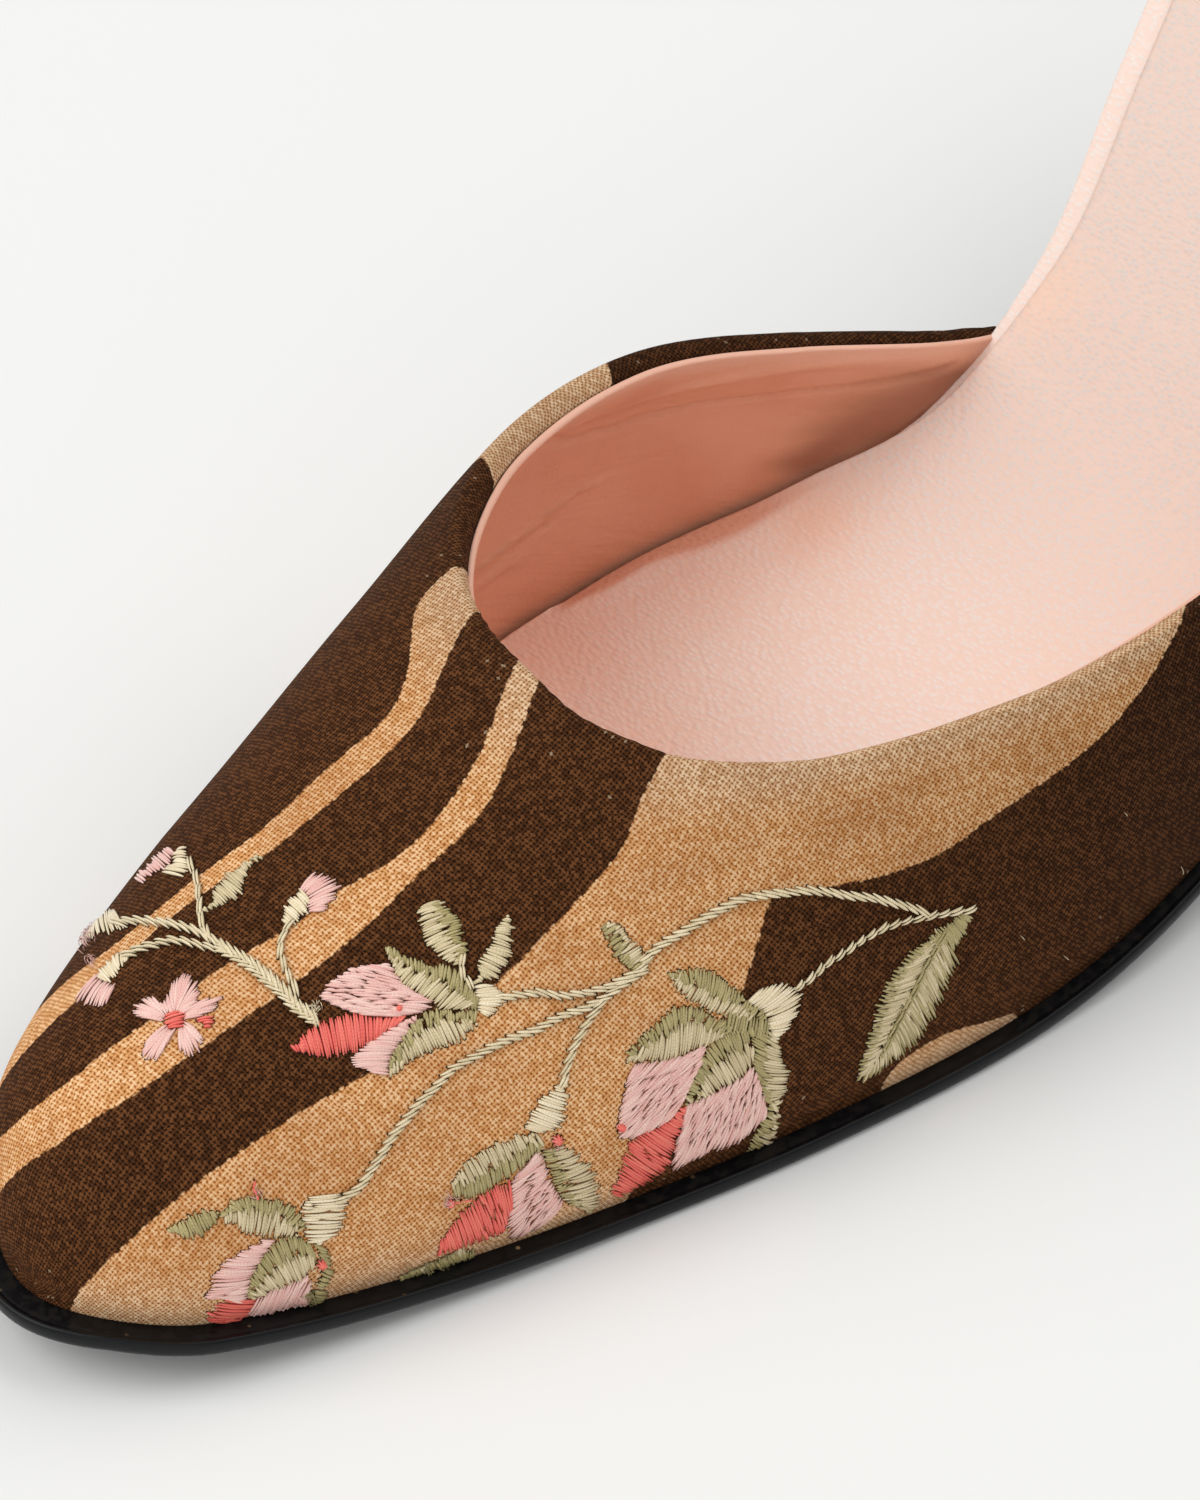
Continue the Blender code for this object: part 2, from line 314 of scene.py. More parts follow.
def easeOver(value, low, high):  # from 0 to 1, with soft ends
    share = np.clip((value - low) / (high - low), 0, 1)
    return share * share * (3 - 2 * share)


def plateau(value, middle, half):  # 1 round the middle, falling to 0 past half to either side
    return np.exp(-((value - middle) / half) ** 4)


# Node helpers
def startFinish(name, **sockets):
    material = bpy.data.materials.new(name)
    material.use_nodes = True
    tree = material.node_tree
    shader = tree.nodes["Principled BSDF"]
    for key, value in sockets.items():
        setSocket(tree, shader.inputs[socketName(key)], value)
    return material, tree, shader


def socketName(key):  # baseColor -> Base Color
    words = "".join(" " + letter if letter.isupper() else letter for letter in key)
    return (words[:1].upper() + words[1:]).replace("I O R", "IOR")


def setSocket(tree, socket, value):
    if isinstance(value, bpy.types.NodeSocket):
        tree.links.new(value, socket)
    elif hasattr(value, "__len__") and len(value) == 3 and socket.type == "RGBA":
        socket.default_value = (*value, 1)
    else:
        socket.default_value = value


def addNode(tree, kind, settings=None, **sockets):
    made = tree.nodes.new("ShaderNode" + kind)
    for key, value in (settings or {}).items():
        setattr(made, key, value)
    for key, value in sockets.items():
        setSocket(tree, made.inputs[socketName(key)], value)
    return made


def calc(tree, operation, *values):
    made = tree.nodes.new("ShaderNodeMath")
    made.operation = operation
    for socket, value in zip(made.inputs, values):
        setSocket(tree, socket, value)
    return made.outputs[0]


def blendColour(tree, factor, first, second, mode="MIX"):
    made = tree.nodes.new("ShaderNodeMix")
    made.data_type = "RGBA"
    made.blend_type = mode
    for index, value in ((0, factor), (6, first), (7, second)):
        setSocket(tree, made.inputs[index], value)
    return made.outputs[2]


def ramp(tree, factor, *stops):  # each stop is (position, colour)
    made = tree.nodes.new("ShaderNodeValToRGB")
    points = made.color_ramp.elements
    while len(points) < len(stops):
        points.new(0.5)
    for point, (position, colour) in zip(points, stops):
        point.position = position
        point.color = (*colour, 1)
    setSocket(tree, made.inputs[0], factor)
    return made.outputs[0]


def span(tree, value, low, high, toLow=0.0, toHigh=1.0):
    made = addNode(tree, "MapRange", {"interpolation_type": "SMOOTHSTEP"})
    for index, number in enumerate((value, low, high, toLow, toHigh)):
        setSocket(tree, made.inputs[index], number)
    return made.outputs[0]


def noise(tree, scale, detail=3.0, vector=None, rough=0.5):
    made = addNode(tree, "TexNoise", scale=scale, detail=detail, roughness=rough)
    setSocket(tree, made.inputs["Vector"], vector or addNode(tree, "TexCoord").outputs["Object"])
    return made.outputs[0]


def bump(tree, height, distance, strength=1.0, under=None):
    made = addNode(tree, "Bump", strength=strength, distance=distance * mm, height=height)
    if under:
        tree.links.new(under, made.inputs["Normal"])
    return made.outputs[0]


# Printed cloth of the upper
cloth = {
    "rows": 190,
    "columns": 168,
    "crowding": 1.6,  # rows lie closer together towards the toe
    "rimRadius": 0.98,  # mm, the fold over the topline
    "rimFuller": 0.42,  # mm more on the medial side of the throat
    "fullerAt": (0.60, 0.40),  # girth, and how far either side
    "rimSteps": 9,
    "rimDepth": 1.3,  # mm down inside the fold
    "rimSlant": 0.8,  # mm square to the rim for each mm along the shoe
    "rimRipple": 0.07,  # mm, the little puckers of the folded edge
    "ripplePitch": 2.1,  # mm
    "rippleDrift": (2.0, 7.3),  # radians that they drift, and over how many mm
    "drawnIn": 0.75,  # mm, where it meets the sole
    "drawnOver": 2.2,  # mm above the sole
    "tuckSteps": 3,
    "tuckDown": 0.5,  # mm, down to the ledge of the sole
    "tuckIn": 0.45,  # mm
    "tuckLean": (0.6, 0.8),  # which way it turns under: back, round the toe only, and across
    "arcEnd": 180.0,  # mm from the toe, past the end of the upper
    "arcSteps": 80,  # from the ridge to either edge
    "pitch": 0.43,  # mm from thread to thread
    "wander": (0.2, 0.09),  # mm that the threads wander, over about 4 mm and in each thread's own crimp
    "wanderScale": (0.25, 1.5),
    "threadRound": 0.95,
    "overUnder": (0.8, 0.2),  # a thread's height, and how far it passes over and under
    "heights": (0.7, 1.05),  # the lowest and the highest threads
    "brownHeights": (0.7, 1.12),
    "tanStops": (0.22, 0.58, 0.95),  # heights at which gap, thread and crown show: painted shade in the gaps, painted highlight on the crowns
    "brownStops": (0.25, 0.6, 1.0),
    "tan": ((0.27, 0.070, 0.010), (0.70, 0.335, 0.118), (0.92, 0.63, 0.37)),  # gap, thread, crown: painted shade in the gaps and a painted highlight on the crowns, round the thread's own tan
    "worn": ((0.20, 0.105, 0.05), (0.55, 0.39, 0.245), (0.82, 0.67, 0.50)),  # greyer tan along the edges, with the same painted shade in the gaps and highlight on the crowns
    "wornOver": 8.0,  # mm from an edge
    "wornShare": 0.45,
    "patchScale": 0.07,
    "patches": (0.4, 0.66, 0.0, 0.22),  # how much deeper the tan is here and there
    # gap, thread, crown of the brown: painted shade in the gaps and a painted highlight on the crowns
    "brown": ((0.007, 0.003, 0.0013), (0.060, 0.021, 0.0066), (0.16, 0.061, 0.021)),
    "tanShadeTowardHeel": (35.0, 100.0, 1.0, 0.74),  # painted shade towards the heel: from and to, in mm from the toe, and the shares of its colour
    # painted shade on the brown towards the heel, as for the tan
    "brownShadeTowardHeel": (60.0, 115.0, 1.0, 0.6),
    "fleck": (0.45, 0.36, 0.24),  # pale lint caught in the brown
    "fleckFrom": 0.991,  # draw above which a thread at an edge has lint
    "fleckOver": (0.6, 0.9, 0.0, 0.6),  # on the higher threads
    "ragged": 0.2,  # mm, how the print's edge follows the threads
    "printEdge": 0.1,  # mm to either side
    "puckers": (0.2, 0.25),  # mm, strength
    "relief": (0.12, 0.6),
}


def surfaceNormals(points):  # outward, for a field of points in rows and columns
    normals = np.cross(np.gradient(points, axis=0), np.gradient(points, axis=1))
    normals[0] = normals[1]
    normals = unit(normals)
    middle = normals.shape[1] // 2
    return normals if normals[-1, middle, 2] > 0 else -normals


def rimRadius(girth):
    return cloth["rimRadius"] + cloth["rimFuller"] * plateau(girth, *cloth["fullerAt"])


def girthArc(x, girth):  # mm over the last from the ridge, square to the shoe's length
    half = cloth["arcSteps"]
    atX, atGirth = np.arange(0.0, cloth["arcEnd"]), np.linspace(-1, 1, 2 * half + 1)
    field = lastSurface(*np.broadcast_arrays(atX[:, None], atGirth[None, :]))
    arc = runAlong(field[:, :, 1:], 1)
    arc -= arc[:, [half]]
    i = np.clip(x.astype(int), 0, len(atX) - 2)
    j = np.clip(((girth + 1) * half).astype(int), 0, 2 * half - 1)
    s, t = x - i, (girth + 1) * half - j
    near = arc[i, j] * (1 - t) + arc[i, j + 1] * t
    return near * (1 - s) + (arc[i + 1, j] * (1 - t) + arc[i + 1, j + 1] * t) * s


def clothField():  # outer face from the toe to the start of the rim, with its pattern plane in mm
    girth = np.linspace(-1, 1, cloth["columns"] + 1)
    share = np.linspace(0, 1, cloth["rows"] + 1)[:, None] ** cloth["crowding"]
    reach = topline(girth) - rimRadius(girth)
    x = reach[None, :] * share
    girths = np.broadcast_to(girth, x.shape)
    inner = lastSurface(x, girths)
    normals = surfaceNormals(inner)
    arc = girthArc(x, girths)
    toRim = (reach - x) * cloth["rimSlant"]
    toSole = np.abs(girthArc(x, np.where(girths < 0, -1.0, 1.0)) - arc)
    drawnIn = cloth["drawnIn"] * np.exp(-(toSole / cloth["drawnOver"]) ** 2)
    outer = inner + normals * (wall - drawnIn)[:, :, None]
    place = np.stack([x, arc, np.minimum(toRim, toSole)], axis=-1)
    return outer, normals, place


def foldRim(outer, normals, place):  # rows that turn over the topline and go down inside it
    along = unit(outer[-1] - outer[-2])
    edge, out = outer[-1], normals[-1]
    radius = rimRadius(np.linspace(-1, 1, len(edge)))[:, None]
    run = runAlong(edge)[:, None]
    drift, over = cloth["rippleDrift"]
    ripple = cloth["rimRipple"] * np.sin(2 * np.pi * run / cloth["ripplePitch"] + drift * np.sin(run / over))
    onward = np.array([1, 0, 0])
    rows, places = [], []
    for turn in np.linspace(0, np.pi, cloth["rimSteps"] + 1)[1:]:
        lift = radius + ripple * np.sin(turn)
        rows.append(edge + along * np.sin(turn) * lift + out * (np.cos(turn) - 1) * lift)
        places.append(place[-1] + onward * turn * radius)
    rows.append(rows[-1] - along * cloth["rimDepth"])
    places.append(places[-1] + onward * cloth["rimDepth"])
    return np.concatenate([outer, rows]), np.concatenate([place, places])


def tuckEdges(points, place):  # columns that run down to the ledge and under
    share = np.arange(1, cloth["tuckSteps"] + 1)[None, :, None] / cloth["tuckSteps"]
    turn = share * np.pi / 2
    for side in (0, -1):
        edge = points[:, [side]]
        into = np.zeros_like(edge)
        into[:, :, 1] = -np.sign(edge[:, :, 1]) * cloth["tuckLean"][1]
        into[:len(edge) // 4, :, 0] = cloth["tuckLean"][0]
        down = np.array([0, 0, -cloth["tuckDown"]]) * np.sin(turn)
        under = edge + down + unit(into) * cloth["tuckIn"] * (1 - np.cos(turn))
        at = place[:, [side]] - np.array([0, cloth["tuckDown"], 0]) * share
        if side == 0:
            points = np.concatenate([under[:, ::-1], points], axis=1)
            place = np.concatenate([at[:, ::-1], place], axis=1)
        else:
            points = np.concatenate([points, under], axis=1)
            place = np.concatenate([place, at], axis=1)
    return points, place


def clothShape():
    points, place = tuckEdges(*foldRim(*clothField()))
    shape, row, column = fieldShape(points)
    shape.normal_update()
    top = max(shape.faces, key=lambda face: face.calc_center_median().z)
    if top.normal.z < 0:
        bmesh.ops.reverse_faces(shape, faces=shape.faces)
    return shape, place[row, column]


# Pattern plane in mm: the cloth unwrapped with little stretch, turned as the guide lies
def layFlat(shape, guide):
    mesh = bpy.data.meshes.new("flatPattern")
    shape.to_mesh(mesh)
    pattern = bpy.data.objects.new("flatPattern", mesh)
    bpy.context.scene.collection.objects.link(pattern)
    bpy.context.view_layer.objects.active = pattern
    pattern.select_set(True)
    bpy.ops.object.mode_set(mode="EDIT")
    bpy.ops.mesh.select_all(action="SELECT")
    bpy.ops.uv.unwrap(method="MINIMUM_STRETCH", fill_holes=False, correct_aspect=False, iterations=6)
    bpy.ops.object.mode_set(mode="OBJECT")
    corners = np.empty(len(mesh.loops) * 2, np.float32)
    verts = np.empty(len(mesh.loops), np.int32)
    mesh.uv_layers.active.uv.foreach_get("vector", corners)
    mesh.loops.foreach_get("vertex_index", verts)
    flat = np.empty((len(mesh.vertices), 2))
    flat[verts] = corners.reshape(-1, 2)
    edges = np.array([[vert.index for vert in edge.verts] for edge in shape.edges])
    real = np.array([edge.calc_length() for edge in shape.edges]) / mm
    laid = np.linalg.norm(flat[edges[:, 0]] - flat[edges[:, 1]], axis=1)
    scale = real.sum() / laid.sum()
    middle = flat.mean(axis=0)
    left, _, right = np.linalg.svd((flat - middle).T @ (guide - guide.mean(axis=0)))
    stretch = laid * scale / real
    places = (flat - middle) @ left @ right * scale + guide.mean(axis=0)
    print("cloth laid flat,", np.ptp(places, axis=0).round().tolist(), "mm")
    print("stretched by", np.percentile(stretch, (1, 50, 99)).round(2).tolist())
    bpy.data.meshes.remove(mesh)
    return places


clothMesh, clothUv = clothShape()
clothUv[:, :2] = layFlat(clothMesh, clothUv[:, :2])
clothTree = BVHTree.FromBMesh(clothMesh)
clothMesh.faces.ensure_lookup_table()


def onSurface(tree, shape, places, px, py):  # where a pixel's ray meets a surface: point, normal, place on it
    ray = pixelRay(px, py)
    point, normal, index, reach = tree.ray_cast(eye, ray)
    if point is None:  # just past an edge: the nearest place to the ray
        depths = np.linspace(*view["depths"], view["depthSteps"]) * mm
        found = [tree.find_nearest(eye + ray * depth) for depth in depths]
        point, normal, index, reach = min(found, key=lambda near: near[3])
    verts = shape.faces[index].verts
    weights = poly_3d_calc([vert.co for vert in verts], point)
    return point, normal, sum(weight * places[vert.index] for weight, vert in zip(weights, verts))


def onCloth(px, py):
    return onSurface(clothTree, clothMesh, clothUv, px, py)


def lineDistance(flat, line):  # mm from each point of a plane to a line in it
    near = np.full(len(flat), farAway)
    for start, end in zip(line, line[1:]):
        leg = end - start
        t = np.clip(((flat - start) @ leg) / max(leg @ leg, tiny), 0, 1)
        near = np.minimum(near, np.linalg.norm(flat - start - t[:, None] * leg, axis=1))
    return near


# Stripes of the print, read from the photo: the two edges of each tan stripe from the throat to the toe
stripes = {
    "first": (
        ((462, 568), (440, 578), (414, 605), (412, 650), (404, 690), (385, 722), (330, 765), (263, 830),
         (219, 861), (182, 889), (150, 916), (111, 948), (89, 964), (59, 988), (42, 1006), (30, 1021)),
        ((478, 612), (466, 622), (446, 660), (420, 722), (370, 770), (297, 830), (263, 857), (205, 891),
         (167, 920), (129, 954), (77, 1001), (59, 1016), (38, 1038), (8, 1074), (-14, 1102)),
    ),
    "second": (
        ((512, 672), (503, 690), (484, 750), (445, 810), (400, 858), (337, 891), (291, 928), (240, 956),
         (207, 977), (175, 1006), (140, 1027), (111, 1048), (77, 1076), (42, 1103), (2, 1140), (-30, 1172)),
        ((534, 693), (530, 705), (510, 760), (480, 820), (411, 880), (378, 917), (331, 956), (274, 998),
         (209, 1042), (156, 1080), (123, 1102), (83, 1126), (50, 1151), (0, 1194), (-25, 1218)),
    ),
    "broad": (
        ((655, 772), (640, 800), (627, 840), (610, 865), (579, 899), (544, 935), (507, 975), (440, 1028),
         (366, 1075), (300, 1112), (200, 1180), (152, 1220), (99, 1270), (78, 1291), (69, 1313)),
        ((1178, 628), (1150, 680), (1090, 750), (1000, 810), (950, 850), (890, 875), (810, 890), (770, 895),
         (766, 913), (755, 951), (743, 987), (725, 1040), (690, 1100), (650, 1160), (627, 1198)),
    ),
    "patch": (
        ((880, 1092), (889, 1069), (927, 1043), (958, 1028), (1018, 1019)),
        ((884, 1092), (900, 1083), (930, 1067), (970, 1046), (1014, 1022)),
    ),
}
hiddenStripes = (  # outlines on the far side, in mm of the flat pattern: from the toe, over from the ridge
    ((92.3, 24.0), (91.7, 29.1), (90.5, 35.5), (85.0, 44.0), (75.0, 52.0), (63.0, 59.0), (52.0, 68.0),
     (80.0, 84.0), (91.0, 74.0), (100.0, 66.0), (106.0, 56.5), (108.2, 47.0), (111.0, 39.0)),
    ((73.0, 38.6), (68.0, 37.2), (62.0, 36.6), (55.0, 35.4), (48.0, 34.4), (41.0, 34.2), (34.0, 35.0),
     (28.0, 37.0), (23.0, 40.0), (20.0, 44.0), (30.0, 47.0), (38.0, 43.0), (46.0, 41.0), (54.0, 40.6),
     (62.0, 40.8), (68.0, 40.2)),
)
pastEdge = 7.0  # mm that a stripe runs on past the cloth's edges
pastToe = 24.0  # mm that the two narrow ones run on round the toe
cornerPasses = 2
cornerCut = 0.25  # share of each leg
soleSidePixels = ((124, 1322), (216, 1316), (320, 1300), (410, 1274), (530, 1237))


def cutCorners(line):  # makes a charted line into a curve
    for turn in range(cornerPasses):
        near, far = np.array(line[:-1]), np.array(line[1:])
        cuts = [near * (1 - cut) + far * cut for cut in (cornerCut, 1 - cornerCut)]
        cuts = np.stack(cuts, axis=1)
        line = [line[0], *cuts.reshape(-1, 2), line[-1]]
    return line


def flatEdge(pixels, startOn=True, endOn=True, past=pastEdge):
    flat = [onCloth(px, py)[2][:2] for px, py in pixels]
    if startOn:
        flat.insert(0, flat[0] + unit(flat[0] - flat[1]) * pastEdge)
    if endOn:
        flat.append(flat[-1] + unit(flat[-1] - flat[-2]) * past)
    return cutCorners(flat)


def stripeOutlines():
    shapes = []
    for name, (first, second) in stripes.items():
        if name == "patch":
            lower = [flat - (0, pastEdge) for flat in flatEdge(second, False, False)]
            shapes.append(flatEdge(first, False, False) + lower[::-1])
            continue
        between = []
        if name == "broad":
            between = [flat - (0, pastEdge) for flat in flatEdge(soleSidePixels, False, False)]
        past = pastEdge if name == "broad" else pastToe
        shapes.append(flatEdge(first, past=past) + between + flatEdge(second, past=past)[::-1])
    hidden = [cutCorners([*shape, shape[0]]) for shape in hiddenStripes]
    return [np.array(shape) for shape in (*shapes, *hidden)]


def stripeDistance(flat, shapes):  # mm inside the nearest tan stripe, less than 0 in the brown
    best = np.full(len(flat), -farAway)
    for shape in shapes:
        inside = np.zeros(len(flat), bool)
        for start, end in zip(shape, np.roll(shape, -1, axis=0)):
            leg = end - start
            crosses = (start[1] > flat[:, 1]) != (end[1] > flat[:, 1])
            rise = leg[1] if abs(leg[1]) > tiny else tiny
            inside ^= crosses & (flat[:, 0] < start[0] + (flat[:, 1] - start[1]) / rise * leg[0])
        near = lineDistance(flat, np.vstack([shape, shape[:1]]))
        best = np.maximum(best, np.where(inside, near, -near))
    return best


def weaveHeight(tree, u, v):  # plain weave: threads pass over and under by turns, with holes at the corners
    waves = [calc(tree, "SINE", calc(tree, "MULTIPLY", side, math.pi / cloth["pitch"])) for side in (u, v)]
    rounds = [calc(tree, "POWER", calc(tree, "ABSOLUTE", wave), cloth["threadRound"]) for wave in waves]
    level, lift = cloth["overUnder"]
    over = calc(tree, "MULTIPLY", calc(tree, "MULTIPLY", *waves), lift)
    warp = calc(tree, "MULTIPLY", rounds[1], calc(tree, "ADD", level, over))
    weft = calc(tree, "MULTIPLY", rounds[0], calc(tree, "SUBTRACT", level, over))
    return calc(tree, "MAXIMUM", warp, weft)


def clothFinish(name, printed=True):
    material, tree, shader = startFinish(name, roughness=0.95, specularIORLevel=0.08)
    place = addNode(tree, "Attribute", {"attribute_name": "clothPlace"}).outputs["Vector"]
    moved = place
    for scale, wander in zip(cloth["wanderScale"], cloth["wander"]):
        wobble = addNode(tree, "TexNoise", {"normalize": False}, vector=place, scale=scale, detail=2.0)
        shifted = addNode(tree, "VectorMath", {"operation": "MULTIPLY_ADD"})
        setSocket(tree, shifted.inputs[0], wobble.outputs["Color"])
        shifted.inputs[1].default_value = (wander, wander, 0)
        tree.links.new(moved, shifted.inputs[2])
        moved = shifted.outputs[0]
    sides = addNode(tree, "SeparateXYZ", vector=moved).outputs[:2]
    split = addNode(tree, "SeparateXYZ", vector=place).outputs
    fromToe, toEdge = split[0], split[2]
    weave = weaveHeight(tree, *sides)
    cells = [calc(tree, "FLOOR", calc(tree, "DIVIDE", side, cloth["pitch"])) for side in sides]
    cell = addNode(tree, "CombineXYZ", x=cells[0], y=cells[1])
    draw = addNode(tree, "TexWhiteNoise", vector=cell.outputs[0]).outputs
    chance = draw["Value"]
    height = calc(tree, "MULTIPLY", weave, span(tree, chance, 0.0, 1.0, *cloth["heights"]))
    uneven = calc(tree, "MULTIPLY", weave, span(tree, chance, 0.0, 1.0, *cloth["brownHeights"]))
    # the weave's height picks the colour: painted shade in the gaps, painted highlight on the crowns
    dark = ramp(tree, uneven, *zip(cloth["brownStops"], cloth["brown"]))
    rare = addNode(tree, "SeparateColor", color=draw["Color"]).outputs[0]
    likely = span(tree, toEdge, 0.0, cloth["wornOver"], cloth["fleckFrom"], 1.0)
    caught = calc(tree, "GREATER_THAN", rare, likely)
    lint = calc(tree, "MULTIPLY", caught, span(tree, weave, *cloth["fleckOver"]))
    colour = blendColour(tree, lint, dark, cloth["fleck"])
    if printed:
        # painted shade: the brown is darkened towards the heel
        dark = blendColour(tree, 1.0, colour, span(tree, fromToe, *cloth["brownShadeTowardHeel"]), "MULTIPLY")
        light, worn = (ramp(tree, height, *zip(cloth["tanStops"], cloth[key])) for key in ("tan", "worn"))
        patch = noise(tree, cloth["patchScale"], 3.0, place)
        light = blendColour(tree, span(tree, patch, *cloth["patches"]), light, cloth["tan"][0])
        # painted shade: the tan is darkened towards the heel
        light = blendColour(tree, 1.0, light, span(tree, fromToe, *cloth["tanShadeTowardHeel"]), "MULTIPLY")
        wear = span(tree, toEdge, 0.0, cloth["wornOver"], cloth["wornShare"], 0.0)
        light = blendColour(tree, wear, light, worn)
        stripe = addNode(tree, "Attribute", {"attribute_name": "stripe"}).outputs["Fac"]
        jump = calc(tree, "MULTIPLY", calc(tree, "SUBTRACT", chance, 0.5), cloth["ragged"])
        inTan = span(tree, calc(tree, "ADD", stripe, jump), -cloth["printEdge"], cloth["printEdge"])
        colour = blendColour(tree, inTan, dark, light)
    setSocket(tree, shader.inputs["Base Color"], colour)
    puckers = bump(tree, noise(tree, 0.3, 2.0, place), *cloth["puckers"])
    setSocket(tree, shader.inputs["Normal"], bump(tree, height, *cloth["relief"], puckers))
    return material


def makeCloth():
    outlines = stripeOutlines()
    distance = stripeDistance(clothUv[:, :2], outlines)
    places = {"clothPlace": clothUv, "stripe": distance}
    return addPiece("upperCloth", clothMesh.copy(), clothFinish("printedCloth"), "upper", places)


makeCloth()
